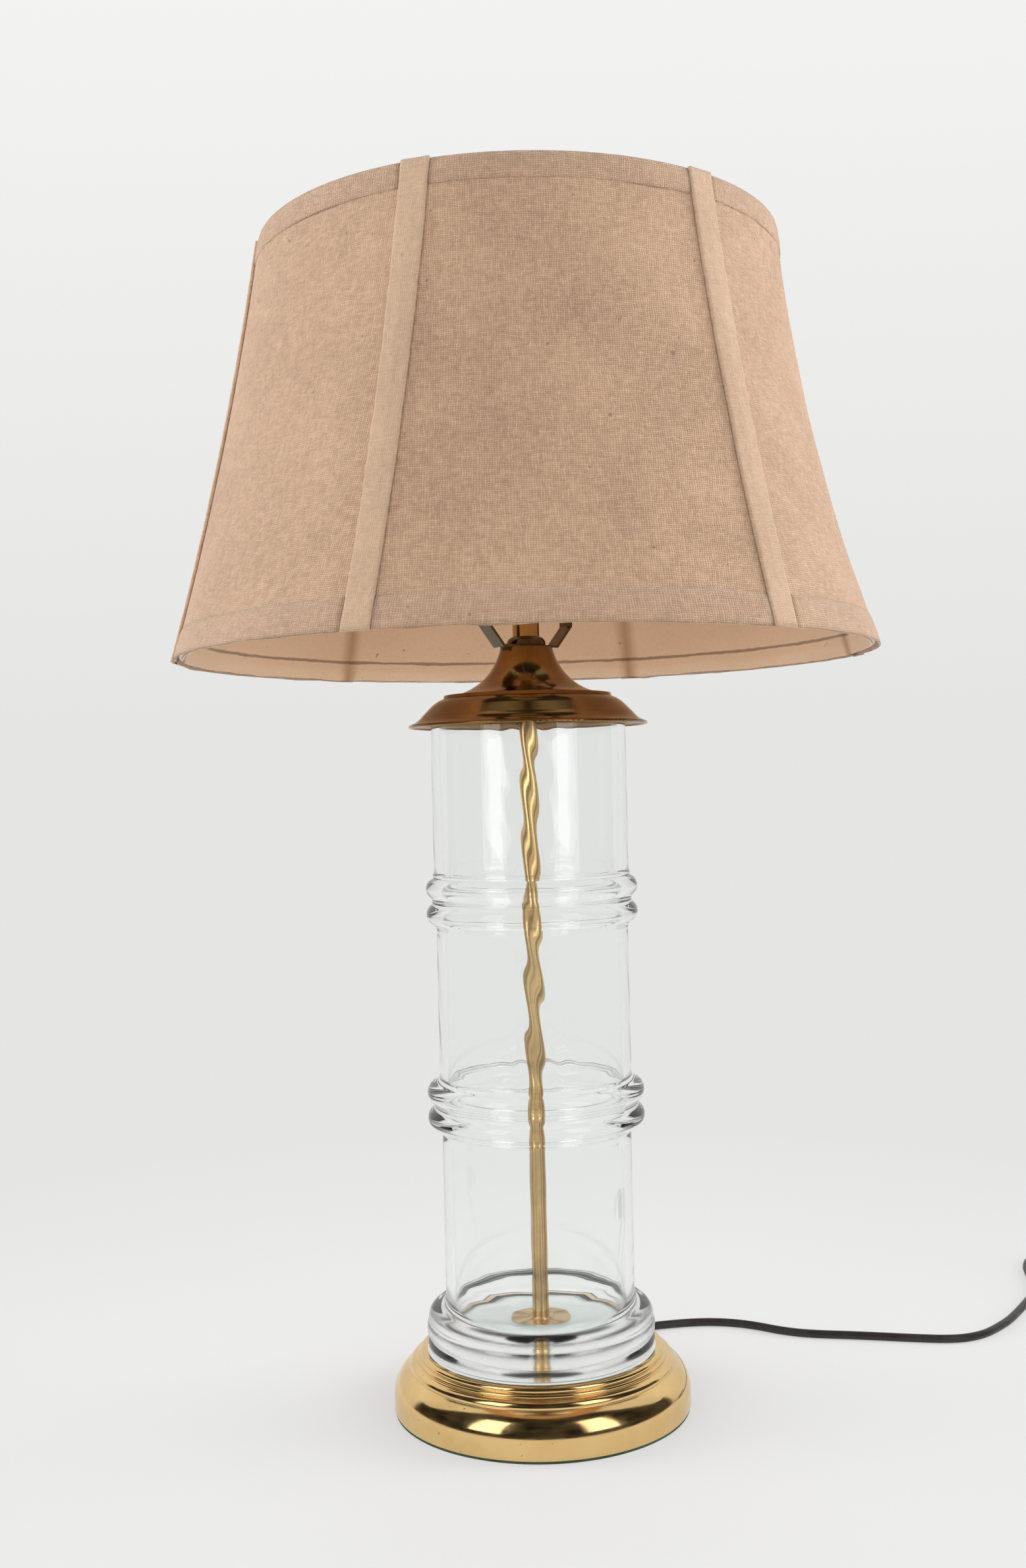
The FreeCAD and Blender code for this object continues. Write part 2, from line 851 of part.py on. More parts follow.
def direction_in_plane(degrees):
    turn = math.radians(degrees)
    return Vector(math.cos(turn), 0, math.sin(turn))


def mirrored(point):
    return None if point is None else Vector(-point.x, point.y, point.z)


def path_edge(kind, start, via, end):
    if kind == "line":
        return Part.LineSegment(start, end).toShape()
    return Part.Arc(start, via, end).toShape()


def tube_along(edges, radius):
    """A round solid tube along a path of lines and arcs that meet at a tangent."""
    path = Part.Wire(edges)
    start = edges[0].valueAt(edges[0].FirstParameter)
    heading = edges[0].tangentAt(edges[0].FirstParameter)
    section = Part.Wire([Part.makeCircle(radius, start, heading)])
    return path.makePipeShell([section], True, False)


def harp_feet(radius, low, high):
    """The thicker ends of the harp wire on both sides."""
    return [
        Part.makeCylinder(radius, high - low, Vector(side * number("saddle_span"), 0, low))
        for side in (1, -1)
    ]


def build_harp():
    wire = tube_along(harp_wire_edges(), number("harp_wire_radius"))
    low = (cap_top + size("saddle_shoulder") + size("saddle_tab_height")).number
    for foot in harp_feet(number("harp_foot_radius"), low, low + number("harp_foot_length") - 1.0):
        wire = wire.fuse(foot)
    wire = wire.removeSplitter()
    turned = Placement(Vector(), Rotation(Vector(0, 0, 1), number("harp_turn")))
    shape_piece("harp", wire, turned)
    plate_low = shelf.number - number("stud_plate_thickness") - 0.8
    plate = Part.makeCylinder(
        number("stud_plate_radius"), shelf.number - plate_low, Vector(0, 0, plate_low)
    )
    stud = Part.makeCylinder(number("stud_radius"), number("stud_height"), Vector(0, 0, shelf.number))
    stud = stud.fuse(plate).removeSplitter()
    shape_piece("harp_stud", stud.cut(wire), turned)


def build_harp_sleeves():
    low = cap_top + size("saddle_shoulder")
    inner = size("harp_foot_radius") + size("slide_gap")
    outer = inner + size("sleeve_wall")
    length = size("sleeve_length")
    for label, side in (("harp_sleeve_right", 1), ("harp_sleeve_left", -1)):
        body = new_body(label)
        centre = (size("saddle_span") * side, 0)

        def ring(sketch, centre=centre):
            draw_circle(sketch, centre, outer)
            draw_circle(sketch, centre, inner)

        pad(body, "tube", "XY_Plane", ring, length, offset=low)
        turn_piece(body, "harp_turn")


# ---------------------------------------------------------------- socket and switch


def build_socket_cap():
    wall = size("socket_cap_wall")
    inner_rim = size("socket_radius") + size("socket_fit")
    rim = inner_rim + wall
    hub = size("neck_radius") + 0.2
    top = neck_top + size("socket_cap_height")
    turned_body(
        "socket_cap",
        [
            (pipe_hole, neck_top),
            (hub, neck_top),
            (hub, neck_top + 2.6),
            ((between(hub, rim, 0.6), neck_top + 7.2), (rim, neck_top + 16.0)),
            (rim, top),
            (inner_rim, top),
            (inner_rim, neck_top + 16.0),
            (
                (between(hub, rim, 0.6) - wall * 0.7, neck_top + 7.2 + wall * 0.7),
                (hub - wall * 0.4, neck_top + 2.6 + wall),
            ),
            (pipe_hole, neck_top + 2.6 + wall),
        ],
    )


def spindle_hole(body, radius):
    cut_through(
        body,
        "spindle_hole",
        "XZ_Plane",
        lambda sketch: draw_circle(sketch, (0, spindle_height), radius),
        both_ways=False,
        reverse=True,
    )


def build_socket_shell():
    outer = size("socket_radius")
    inner = outer - size("socket_wall")
    low = neck_top + 17.0
    high = neck_top + size("socket_cap_height") - 5.0 + size("socket_length")
    body = turned_body(
        "socket_shell",
        [
            (inner, low),
            (outer, low),
            (outer, high - 3.0),
            ((outer + 0.9, high - 1.5), (outer, high)),
            (inner, high),
        ],
    )
    spindle_hole(body, size("spindle_radius") + 0.7)
    turn_piece(body, "harp_turn")


def insulator_inner():
    return size("socket_radius") - size("socket_wall") - size("socket_fit") - size("insulator_wall")


def build_socket_insulator():
    low = neck_top + 17.0
    high = neck_top + size("socket_cap_height") - 7.0 + size("socket_length")
    body = turned_body(
        "socket_insulator",
        [
            (insulator_inner(), low),
            (insulator_inner() + size("insulator_wall"), low),
            (insulator_inner() + size("insulator_wall"), high),
            (insulator_inner(), high),
        ],
    )
    spindle_hole(body, size("spindle_radius") + 0.7)
    turn_piece(body, "harp_turn")


def build_socket_core():
    """The moulded block that carries the switch, the screw shell and the terminals."""
    radius = insulator_inner() - size("socket_fit")
    body = turned_body(
        "socket_core",
        [
            (0, core_bottom),
            (radius - 1.0, core_bottom),
            (radius, core_bottom + 1.0),
            (radius, core_top),
            (0, core_top),
        ],
    )
    side_flat = size("core_flat")
    for name, side in (("right_flat", 1), ("left_flat", -1)):
        corners = [
            (side_flat * side, core_bottom - 1.0),
            ((radius + 1.0) * side, core_bottom - 1.0),
            ((radius + 1.0) * side, core_bottom + size("core_height") * 0.7),
            (side_flat * side, core_bottom + size("core_height") * 0.7),
        ]
        cut_through(
            body, name, "XZ_Plane", lambda sketch, corners=corners: draw_outline(sketch, corners)
        )
    cut_through(
        body,
        "spindle_bore",
        "XZ_Plane",
        lambda sketch: draw_circle(
            sketch, (0, spindle_height), size("spindle_radius") + size("slide_gap")
        ),
        both_ways=False,
        reverse=True,
        offset=spindle_seat(),
    )
    turn_piece(body, "harp_turn")


def spindle_seat():
    """How far from the axis the spindle's bore starts."""
    return size("core_flat") - 5.0


def build_terminal_screws():
    """Two round screw heads on the flats of the socket's core."""
    heads = []
    for side in (1, -1):
        start = Vector(side * number("core_flat"), 0, core_bottom.number + number("core_height") * 0.35)
        head = Part.makeCylinder(
            number("terminal_radius"), number("terminal_height"), start, Vector(side, 0, 0)
        )
        slot = Part.makeBox(1.2, 0.7, 2 * number("terminal_radius") + 1)
        slot.translate(
            Vector(
                side * (number("core_flat") + number("terminal_height")) - 0.6,
                -0.35,
                start.z - number("terminal_radius") - 0.5,
            )
        )
        heads.append(head.cut(slot))
    turned = Placement(Vector(), Rotation(Vector(0, 0, 1), number("harp_turn")))
    shape_piece("terminal_screws", Part.makeCompound(heads), turned)


def build_screw_shell():
    outer = size("screw_shell_radius")
    inner = outer - size("screw_shell_wall")
    top = neck_top + size("socket_cap_height") - 6.0 + size("socket_length")
    turned_body(
        "screw_shell",
        [
            (size("contact_radius") + 4.5, core_top),
            (outer, core_top),
            (outer, top),
            (inner, top),
            (inner, core_top + size("screw_shell_wall")),
            (size("contact_radius") + 4.5, core_top + size("screw_shell_wall")),
        ],
    )


def build_centre_contact():
    edge = size("contact_radius")
    turned_body(
        "centre_contact",
        [
            (0, core_top),
            (edge, core_top),
            (edge, core_top + 0.8),
            (edge - 1.2, contact_top),
            (0, contact_top),
        ],
    )


def build_switch_knob():
    """The turn knob with its spindle, drawn towards -Y and then turned with the harp."""
    body = new_body("switch_knob")
    spindle, grip = size("spindle_radius"), size("knob_radius")
    end = -size("knob_reach")
    back = end - size("knob_length")
    turn_about_axis(
        body,
        [
            (0, -(spindle_seat() + size("slide_gap"))),
            (spindle, -(spindle_seat() + size("slide_gap"))),
            (spindle, end),
            (grip * 0.72, end),
            (grip * 0.82, end - 3.2),
            (0, end - 3.2),
        ],
        role="XY_Plane",
        offset=spindle_height,
    )
    half = size("knob_radius") * 0.34

    def paddle(sketch):
        draw_outline(
            sketch,
            [
                (-grip * 0.8, end - 2.2),
                (grip * 0.8, end - 2.2),
                (grip, between(end, back, 0.6)),
                ((0, back - 0.4), (-grip, between(end, back, 0.6))),
            ],
        )

    pad(body, "paddle", "XY_Plane", paddle, half * 2, both_ways=True, offset=spindle_height)
    turn_piece(body, "harp_turn")


# ---------------------------------------------------------------- bulb


def build_bulb():
    tip_top = bulb_bottom + 1.5
    insulator_top = bulb_bottom + 3.8
    base_top = insulator_top + size("bulb_base_length")
    base_radius = size("bulb_base_radius")
    turned_body(
        "bulb_contact",
        [
            (0, bulb_bottom),
            (3.0, bulb_bottom),
            ((4.2, bulb_bottom + 0.5), (4.7, tip_top)),
            (0, tip_top),
        ],
    )
    turned_body(
        "bulb_insulator",
        [
            (0, tip_top),
            (5.2, tip_top),
            (base_radius - 1.6, insulator_top),
            (0, insulator_top),
        ],
    )
    turned_body(
        "bulb_base",
        [
            (0, insulator_top),
            (base_radius - 1.0, insulator_top),
            (base_radius, insulator_top + 1.6),
            (base_radius, base_top),
            (0, base_top),
        ],
    )
    build_bulb_glass(base_top)


def build_bulb_glass(base_top):
    wall = size("bulb_wall")
    radius = size("bulb_radius")
    centre = bulb_top - radius
    neck = size("bulb_base_radius") - 0.5

    def on_globe(angle, offset):
        turn = math.radians(angle)
        reach = radius - offset
        return (reach * math.cos(turn), centre + reach * math.sin(turn))

    def shape(offset):
        low = on_globe(-34, offset)
        return [
            (neck - offset, base_top),
            (
                (between(neck, low[0], 0.36) - offset * 0.6, between(base_top, low[1], 0.6)),
                low,
            ),
            (on_globe(20, offset), (0, centre + radius - offset)),
        ]

    outer, inner = shape(0), shape(wall)
    turned_body(
        "bulb_glass",
        outer
        + [
            inner[2][1],
            (inner[2][0], inner[1][1]),
            (inner[1][0], inner[0]),
        ],
    )


# ---------------------------------------------------------------- shade


def shade_share(height):
    """How far up from the bottom ring to the top ring a height lies."""
    return (height - bottom_ring_height.number) / (top_ring_height - bottom_ring_height).number


def rib_line(height, offset):
    """The radius of a rib's centreline plus an offset. The ribs sag a little towards the axis."""
    share = shade_share(height)
    straight = number("shade_bottom_radius") + share * (
        number("shade_top_radius") - number("shade_bottom_radius")
    )
    return straight - number("rib_sag") * 4 * share * (1 - share) + offset


def panel_line(height, offset):
    """The radius at the middle of a panel, where the cloth is drawn in between the ribs."""
    share = shade_share(height)
    return rib_line(height, offset) - number("panel_sag") * 4 * share * (1 - share)


def rib_angle(rib):
    """The direction of a rib, counted from the front towards +X."""
    return math.radians(number("rib_turn") + 360 / RIB_COUNT * rib)


def around(angle, radius, height):
    return Vector(radius * math.sin(angle), -radius * math.cos(angle), height)


def shade_section(height, offset):
    """One level of the shade: an arc over each panel that meets the next one at a rib."""
    half_panel = math.pi / RIB_COUNT
    arcs = []
    for rib in range(RIB_COUNT):
        start = around(rib_angle(rib), rib_line(height, offset), height)
        middle = around(rib_angle(rib) + half_panel, panel_line(height, offset), height)
        end = around(rib_angle(rib + 1), rib_line(height, offset), height)
        arcs.append(Part.Arc(start, middle, end).toShape())
    return Part.Wire(arcs)


def shade_core(offset):
    """The solid inside a skin that lies an offset outside the ribs' centreline, a little taller
    than the shade."""
    low, high = shade_bottom.number - 2.0, shade_top.number + 2.0
    levels = [low + (high - low) * share / 4 for share in range(5)]
    return Part.makeLoft([shade_section(level, offset) for level in levels], True, False)


def shade_skin(inner, outer, low, high):
    """A closed skin between two offsets from the ribs, open at the top and the bottom."""
    reach = 2 * number("shade_bottom_radius") + 100
    slab = Part.makeBox(2 * reach, 2 * reach, high - low, Vector(-reach, -reach, low))
    return shade_core(outer).common(slab).cut(shade_core(inner))


def rib_prisms(width):
    """Upright slabs, one at each rib, that mark out the trims."""
    slabs = []
    reach, height = number("shade_bottom_radius"), number("shade_height")
    for rib in range(RIB_COUNT):
        slab = Part.makeBox(width, reach * 0.6, height * 1.2)
        slab.translate(Vector(-width / 2, -reach * 1.15, shade_bottom.number - height * 0.1))
        slab.rotate(Vector(), Vector(0, 0, 1), math.degrees(rib_angle(rib)))
        slabs.append(slab)
    return slabs


def build_shade_frame():
    wire = number("shade_wire_radius")
    rings = {}
    for label, radius, height in (
        ("shade_top_ring", "shade_top_radius", top_ring_height),
        ("shade_bottom_ring", "shade_bottom_radius", bottom_ring_height),
    ):
        ring = document.addObject("Part::Torus", label)
        ring.setExpression("Radius1", size(radius).formula)
        ring.setExpression("Radius2", size("shade_wire_radius").formula)
        ring.setExpression("Placement.Base.z", height.formula)
        keep(ring, label)
    document.recompute()
    low, high = bottom_ring_height.number, top_ring_height.number
    ribs = []
    for rib in range(RIB_COUNT):
        points = [
            around(rib_angle(rib), rib_line(height, 0.0), height)
            for height in (low, (low + high) / 2, high)
        ]
        line = Part.Arc(*points)
        start = line.parameterAtDistance(wire, line.FirstParameter)
        end = line.parameterAtDistance(line.length() - wire, line.FirstParameter)
        ribs.append(tube_along([Part.Edge(line, start, end)], wire))
    shape_piece("shade_rib_wires", Part.makeCompound(ribs))
    build_spider(wire)


def build_spider(wire):
    """The hub washer and, welded on it, the three wires that carry the top ring."""
    thick = number("hub_thickness")
    hub_low = shelf.number
    hub = Part.makeCylinder(number("hub_radius"), thick, Vector(0, 0, hub_low))
    hole = Part.makeCylinder(number("stud_radius") + 0.4, thick, Vector(0, 0, hub_low))
    pieces = [hub.cut(hole)]
    arm_height = hub_low + thick + wire
    for arm in range(SPIDER_ARMS):
        angle = arm_angle(arm)
        start = around(angle, number("hub_radius") - 2.5, arm_height)
        knee = around(angle, number("hub_radius") + 9.0, arm_height)
        ring = around(angle, number("shade_top_radius"), top_ring_height.number)
        end = ring - (ring - knee).normalize() * wire
        edges, _ = rounded_path([start, knee, end], largest=12.0)
        pieces.append(tube_along(edges, wire))
    shape_piece("shade_spider", Part.makeCompound(pieces))


def arm_angle(arm):
    return rib_angle(arm * RIB_COUNT // SPIDER_ARMS)


def arm_notches():
    """Upright slots in the lining that let the three arms through to the top ring."""
    width = number("lining_notch")
    low = top_ring_height.number - width / 2
    slots = []
    for arm in range(SPIDER_ARMS):
        slot = Part.makeBox(width, 2 * width, 3 * width)
        slot.translate(Vector(-width / 2, -number("shade_top_radius") - width / 2, low))
        slot.rotate(Vector(), Vector(0, 0, 1), math.degrees(arm_angle(arm)))
        slots.append(slot)
    return slots


def build_shade_cloth():
    wire = number("shade_wire_radius")
    gap = number("cloth_gap")
    low, high = shade_bottom.number, shade_top.number
    inner = wire + gap
    outer = inner + number("cloth_thickness")
    shape_piece("shade_cloth", shade_skin(inner, outer, low, high))
    lining_outer = -wire - gap
    lining = shade_skin(lining_outer - number("lining_thickness"), lining_outer, low + 0.6, high - 0.6)
    shape_piece("shade_lining", lining.cut(Part.makeCompound(arm_notches())).Solids[0])
    trim_skin = shade_skin(outer + gap / 2, outer + number("trim_thickness"), low, high)
    trims = [trim_skin.common(slab) for slab in rib_prisms(number("trim_width"))]
    shape_piece("rib_trims", Part.makeCompound([piece.Solids[0] for piece in trims]))
    clear = Part.makeCompound(rib_prisms(number("trim_width") + 0.6))
    for label, bottom, top in (
        ("top_hem", high - number("top_hem_width"), high),
        ("bottom_hem", low, low + number("bottom_hem_width")),
    ):
        band = shade_skin(outer + gap / 2, outer + number("hem_thickness"), bottom, top)
        pieces = band.cut(clear).Solids
        shape_piece(label, Part.makeCompound(pieces))


# ---------------------------------------------------------------- finial


def build_finial():
    low = hub_top
    base, ball = size("finial_base_radius"), size("finial_radius")
    neck = ball * 0.5
    waist = low + size("finial_height") - ball * (1 + math.sqrt(0.75))
    centre = waist + ball * math.sqrt(0.75)
    bore = size("stud_radius") + size("slide_gap")
    bore_top = shelf + size("stud_height") + 1.0
    turned_body(
        "finial",
        [
            (bore, low),
            (base, low),
            (base, low + 1.6),
            ((between(base, neck, 0.7), between(low + 1.6, waist, 0.4)), (neck, waist)),
            ((ball, centre), (0, centre + ball)),
            (0, bore_top),
            (bore, bore_top),
        ],
    )


# ---------------------------------------------------------------- cord


def rounded_path(points, largest=None):
    """Straight runs through the points, joined by tangent arcs as large as the runs allow."""
    edges, radii = [], []
    last = points[0]
    for before, corner, after in zip(points, points[1:], points[2:]):
        toward, away = (corner - before), (after - corner)
        shorter = min(toward.Length, away.Length)
        half_turn = toward.getAngle(away) / 2
        radius = 0.45 * shorter / math.tan(half_turn)
        if largest is not None:
            radius = min(radius, largest)
        radii.append(radius)
        reach = radius * math.tan(half_turn)
        toward.normalize()
        away.normalize()
        start, end = corner - toward * reach, corner + away * reach
        inward = away - toward
        inward.normalize()
        middle = corner + inward * (radius / math.cos(half_turn) - radius)
        edges.append(Part.LineSegment(last, start).toShape())
        edges.append(Part.Arc(start, middle, end).toShape())
        last = end
    edges.append(Part.LineSegment(last, points[-1]).toShape())
    return edges, radii


def check_tube(label, solid, edges, radius):
    length = sum(edge.Length for edge in edges)
    share = solid.Volume / (math.pi * radius**2 * length)
    print(f"{label}: {length:.1f} mm long, volume {share:.4f} of section times length")
    return length


def exit_point(reach):
    turn = math.radians(number("cord_exit_turn"))
    return Vector(-math.sin(turn) * reach, math.cos(turn) * reach, number("cord_exit_height"))


def grommet_face():
    """How far from the axis the grommet's outer face lies."""
    return number("base_radius") + 0.1 + number("grommet_flange_thickness")


def coil_place(turn):
    """The coil's centreline after this many turns. It winds clockwise, inwards on the table, climbs
    in the half turn round the middle of its length, and winds out again on top of itself."""
    pitch = number("cord_diameter") + 0.5
    half = COIL_TURNS / 2
    spread = pitch * half / 2
    radius = number("coil_middle_radius") + spread * (2 * abs(turn - half) / half - 1)
    ease = min(max((turn - half + 0.25) / 0.5, 0.0), 1.0)
    climb = ease * ease * (3 - 2 * ease)
    angle = math.radians(number("coil_start_angle")) - 2 * math.pi * turn
    return Vector(
        number("coil_centre_x") + radius * math.cos(angle),
        number("coil_centre_y") + radius * math.sin(angle),
        number("cord_diameter") / 2 + pitch * climb,
    )


def coil_heading(turn):
    step = 1e-4
    heading = coil_place(turn + step) - coil_place(turn - step)
    heading.z = 0 if abs(heading.z) < 1e-9 else heading.z
    heading.normalize()
    return heading


def biarc(start, start_heading, end, end_heading):
    """Two arcs that leave start and reach end along the headings and meet at a tangent."""
    span = end - start
    both = start_heading + end_heading
    square = 2 * (1 - start_heading.dot(end_heading))
    along = span.dot(both)
    if square < 1e-9:
        reach = span.dot(span) / (4 * span.dot(end_heading))
    else:
        reach = (-along + math.sqrt(along * along + square * span.dot(span))) / square
    start_knee, end_knee = start + start_heading * reach, end - end_heading * reach
    joint = (start_knee + end_knee) * 0.5
    return [arc_by_knee(start, start_knee, joint), arc_by_knee(joint, end_knee, end)]


def arc_by_knee(start, knee, end):
    """The arc from start to end whose end tangents meet at the knee."""
    toward, away = knee - start, end - knee
    half_turn = toward.getAngle(away) / 2
    chord_middle = (start + end) * 0.5
    up = knee - chord_middle
    rise = (end - start).Length / 2 * math.tan(half_turn / 2)
    up.normalize()
    return Part.Arc(start, chord_middle + up * rise, end).toShape()


def coil_edges():
    """The coil's path: a straight lead, quarter turns and a last straight lead."""
    lead = number("cord_diameter")
    quarters = 4 * 7
    marks = [COIL_TURNS * step / quarters for step in range(quarters + 1)]
    first, last = coil_place(0.0), coil_place(COIL_TURNS)
    first_heading, last_heading = coil_heading(1e-3), coil_heading(COIL_TURNS - 1e-3)
    edges = [Part.LineSegment(first - first_heading * lead, first).toShape()]
    for start, end in zip(marks, marks[1:]):
        heading = first_heading if start == 0 else coil_heading(start)
        end_heading = last_heading if end == marks[-1] else coil_heading(end)
        edges += biarc(coil_place(start), heading, coil_place(end), end_heading)
    edges.append(Part.LineSegment(last, last + last_heading * lead).toShape())
    return edges


def least_gap(edges, diameter):
    """The least distance between the tube and itself, measured on points along the path."""
    points, run = [], 0.0
    for edge in edges:
        count = max(2, int(edge.Length / 2.0))
        for step in range(count):
            share = step / count
            place = edge.valueAt(
                edge.FirstParameter + (edge.LastParameter - edge.FirstParameter) * share
            )
            points.append((run + edge.Length * share, place))
        run += edge.Length
    closest = min(
        (one[1] - other[1]).Length
        for place, one in enumerate(points)
        for other in points[place + 1 :]
        if other[0] - one[0] > 4 * diameter
    )
    return closest - diameter


def build_inner_lead():
    """The lead from the grommet's face under the weight, up the pipe and to the socket."""
    reach = grommet_face()
    low = number("cord_exit_height")
    bend = pipe_bottom.number - low
    lean = math.pi / 4
    edges = [
        Part.LineSegment(Vector(0, reach, low), Vector(0, bend, low)).toShape(),
        Part.Arc(
            Vector(0, bend, low),
            Vector(0, bend * (1 - math.sin(lean)), low + bend * (1 - math.cos(lean))),
            Vector(0, 0, low + bend),
        ).toShape(),
        Part.LineSegment(Vector(0, 0, low + bend), Vector(0, 0, core_bottom.number)).toShape(),
    ]
    radius = number("cord_diameter") / 2
    solid = tube_along(edges, radius)
    check_tube("inner_lead", solid, edges, radius)
    turned = Placement(Vector(), Rotation(Vector(0, 0, 1), number("cord_exit_turn")))
    shape_piece("inner_lead", solid, turned)


def build_power_cord():
    radius = number("cord_diameter") / 2
    lead = number("cord_diameter")
    coil = coil_edges()
    coil_start = coil[0].valueAt(coil[0].FirstParameter)
    start_heading = coil[0].tangentAt(coil[0].FirstParameter)
    approach = coil_start - start_heading * 15.0
    route = [exit_point(grommet_face())] + [Vector(*place) for place in CORD_ROUTE]
    route += [approach, coil_start]
    edges, radii = rounded_path(route)
    print("power_cord radii:", " ".join(f"{value:.0f}" for value in radii))
    free = tube_along(edges, radius)
    total = check_tube("power_cord", free, edges, radius)
    shape_piece("power_cord", free)
    wound = tube_along(coil, radius)
    total += check_tube("cord_coil", wound, coil, radius)
    print(f"cord_coil: least gap to itself {least_gap(coil, lead):.2f} mm")
    shape_piece("cord_coil", wound)
    tail_start = coil[-1].valueAt(coil[-1].LastParameter)
    heading = coil[-1].tangentAt(coil[-1].LastParameter)
    sideways = Vector(heading.y, -heading.x, 0)
    tail = [tail_start] + [
        tail_start + heading * ahead + sideways * aside for ahead, aside in TAIL_STEPS
    ]
    tail_edges, tail_radii = rounded_path(tail)
    print("cord_tail radii:", " ".join(f"{value:.0f}" for value in tail_radii))
    tail_solid = tube_along(tail_edges, radius)
    total += check_tube("cord_tail", tail_solid, tail_edges, radius)
    shape_piece("cord_tail", tail_solid)
    print(f"cord: {total:.0f} mm from the grommet to the plug")
    for edge in (coil[0], coil[-1], tail_edges[-1]):
        end = edge.valueAt(edge.LastParameter)
        print("cord mark:", " ".join(f"{value:.2f}" for value in end))
    build_plug(tail[-1], tail[-1] - tail[-2])


def build_plug(start, heading):
    """A flat two-blade plug that lies on the table at the end of the tail."""
    neck, length = size("plug_neck_length"), size("plug_length")
    face = neck + length
    half_width, half_thick = size("plug_width") * 0.5, size("plug_thickness") * 0.5
    corner = size("plug_thickness") * 0.3
    soft = corner * (1 - math.sqrt(0.5))
    cord = size("cord_diameter") * 0.5
    place = Placement(start, Rotation(Vector(1, 0, 0), heading))

    body = new_body("plug_body")

    def rounded_block(sketch):
        steps = []
        for across, up in ((1, -1), (1, 1), (-1, 1), (-1, -1)):
            upright = (half_width * across, (half_thick - corner) * up)
            level = ((half_width - corner) * across, half_thick * up)
            via = ((half_width - soft) * across, (half_thick - soft) * up)
            steps += [upright, (via, level)] if across * up > 0 else [level, (via, upright)]
        draw_outline(sketch, steps)

    pad(body, "block", "YZ_Plane", rounded_block, length, offset=neck)
    sketch = add_sketch(body, "plug_body_neck_outline", "XY_Plane")
    draw_outline(
        sketch,
        [
            (0, 0),
            (0, cord + 0.8),
            ((neck * 0.5, cord + 1.4), (neck + 2.0, cord + 3.4)),
            (neck + 2.0, 0),
        ],
    )
    turn = body.newObject("PartDesign::Revolution", "plug_body_neck")
    turn.Profile = sketch
    turn.ReferenceAxis = (sketch, ["H_Axis"])
    turn.Angle = 360
    document.recompute()
    body.Placement = place

    blades = []
    for side in (1, -1):
        blade = Part.makeBox(
            number("blade_length"), number("blade_thickness"), number("blade_width")
        )
        blade.translate(
            Vector(
                face.number,
                side * number("blade_spacing") / 2 - number("blade_thickness") / 2,
                -number("blade_width") / 2,
            )
        )
        hole = Part.makeCylinder(
            1.6,
            20,
            Vector(face.number + number("blade_length") - 5.0, side * number("blade_spacing") / 2 - 10, 0),
            Vector(0, 1, 0),
        )
        blades.append(blade.cut(hole))
    shape_piece("plug_blades", Part.makeCompound(blades), place)


# ---------------------------------------------------------------- build, check and write

build_felt_pad()
build_base_shell()
build_base_weight()
build_base_washer()
build_base_nut()
build_cord_grommet()
build_base_cushion()
build_glass_column()
build_floor_disc()
build_lamp_pipe()
build_cap_cushion()
build_top_cap()
build_harp_saddle()
build_neck_collar()
build_neck_tube()
build_harp()
build_harp_sleeves()
build_socket_cap()
build_socket_shell()
build_socket_insulator()
build_socket_core()
build_terminal_screws()
build_screw_shell()
build_centre_contact()
build_switch_knob()
build_bulb()
build_shade_frame()
build_shade_cloth()
build_finial()
build_inner_lead()
build_power_cord()

document.recompute()
for item in document.Objects:
    if "Invalid" in item.State or "Error" in item.State:
        raise RuntimeError(f"{item.Label} failed: {item.State}")
for item in sub_parts:
    if item.Shape.isNull() or not item.Shape.isValid():
        raise RuntimeError(f"{item.Label} has no valid shape")

os.makedirs("parts", exist_ok=True)
for item in sub_parts:
    item.Shape.exportStep(f"parts/{item.Label}.step")
print(f"{len(sub_parts)} sub-parts written")
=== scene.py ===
import math

import bmesh
import bpy
from mathutils import Matrix, Vector, noise


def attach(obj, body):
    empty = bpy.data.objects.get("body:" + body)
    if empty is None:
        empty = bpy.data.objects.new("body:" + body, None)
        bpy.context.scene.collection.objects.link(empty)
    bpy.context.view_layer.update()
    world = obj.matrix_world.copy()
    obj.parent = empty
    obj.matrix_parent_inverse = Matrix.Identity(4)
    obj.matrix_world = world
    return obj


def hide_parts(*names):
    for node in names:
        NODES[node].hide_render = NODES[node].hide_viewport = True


# A table lamp: a ringed glass column on a spun brass base, a dark brass cap and a six-panel cloth
# shade. Lengths are in metres. Heights are above the table, and -Y is the front.

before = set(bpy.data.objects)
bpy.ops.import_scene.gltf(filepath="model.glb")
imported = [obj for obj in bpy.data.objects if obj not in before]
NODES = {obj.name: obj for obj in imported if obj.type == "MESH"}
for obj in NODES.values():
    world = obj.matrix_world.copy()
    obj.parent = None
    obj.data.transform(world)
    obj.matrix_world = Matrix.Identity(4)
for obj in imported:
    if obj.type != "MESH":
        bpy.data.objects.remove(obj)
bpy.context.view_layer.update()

# ---------------------------------------------------------------- camera

CAMERA_PLACE = (-0.0096, -0.940, 0.3643)
CAMERA_TILT = math.radians(90.12)
CAMERA_ROLL = math.radians(-1.27)

camera_data = bpy.data.cameras.new("camera")
camera_data.sensor_width = 36.0
camera_data.lens = 36.41
camera = bpy.data.objects.new("camera", camera_data)
camera.matrix_world = (
    Matrix.Translation(CAMERA_PLACE)
    @ Matrix.Rotation(CAMERA_TILT, 4, "X")
    @ Matrix.Rotation(CAMERA_ROLL, 4, "Z")
)
bpy.context.scene.collection.objects.link(camera)
bpy.context.scene.camera = camera

# ---------------------------------------------------------------- cord

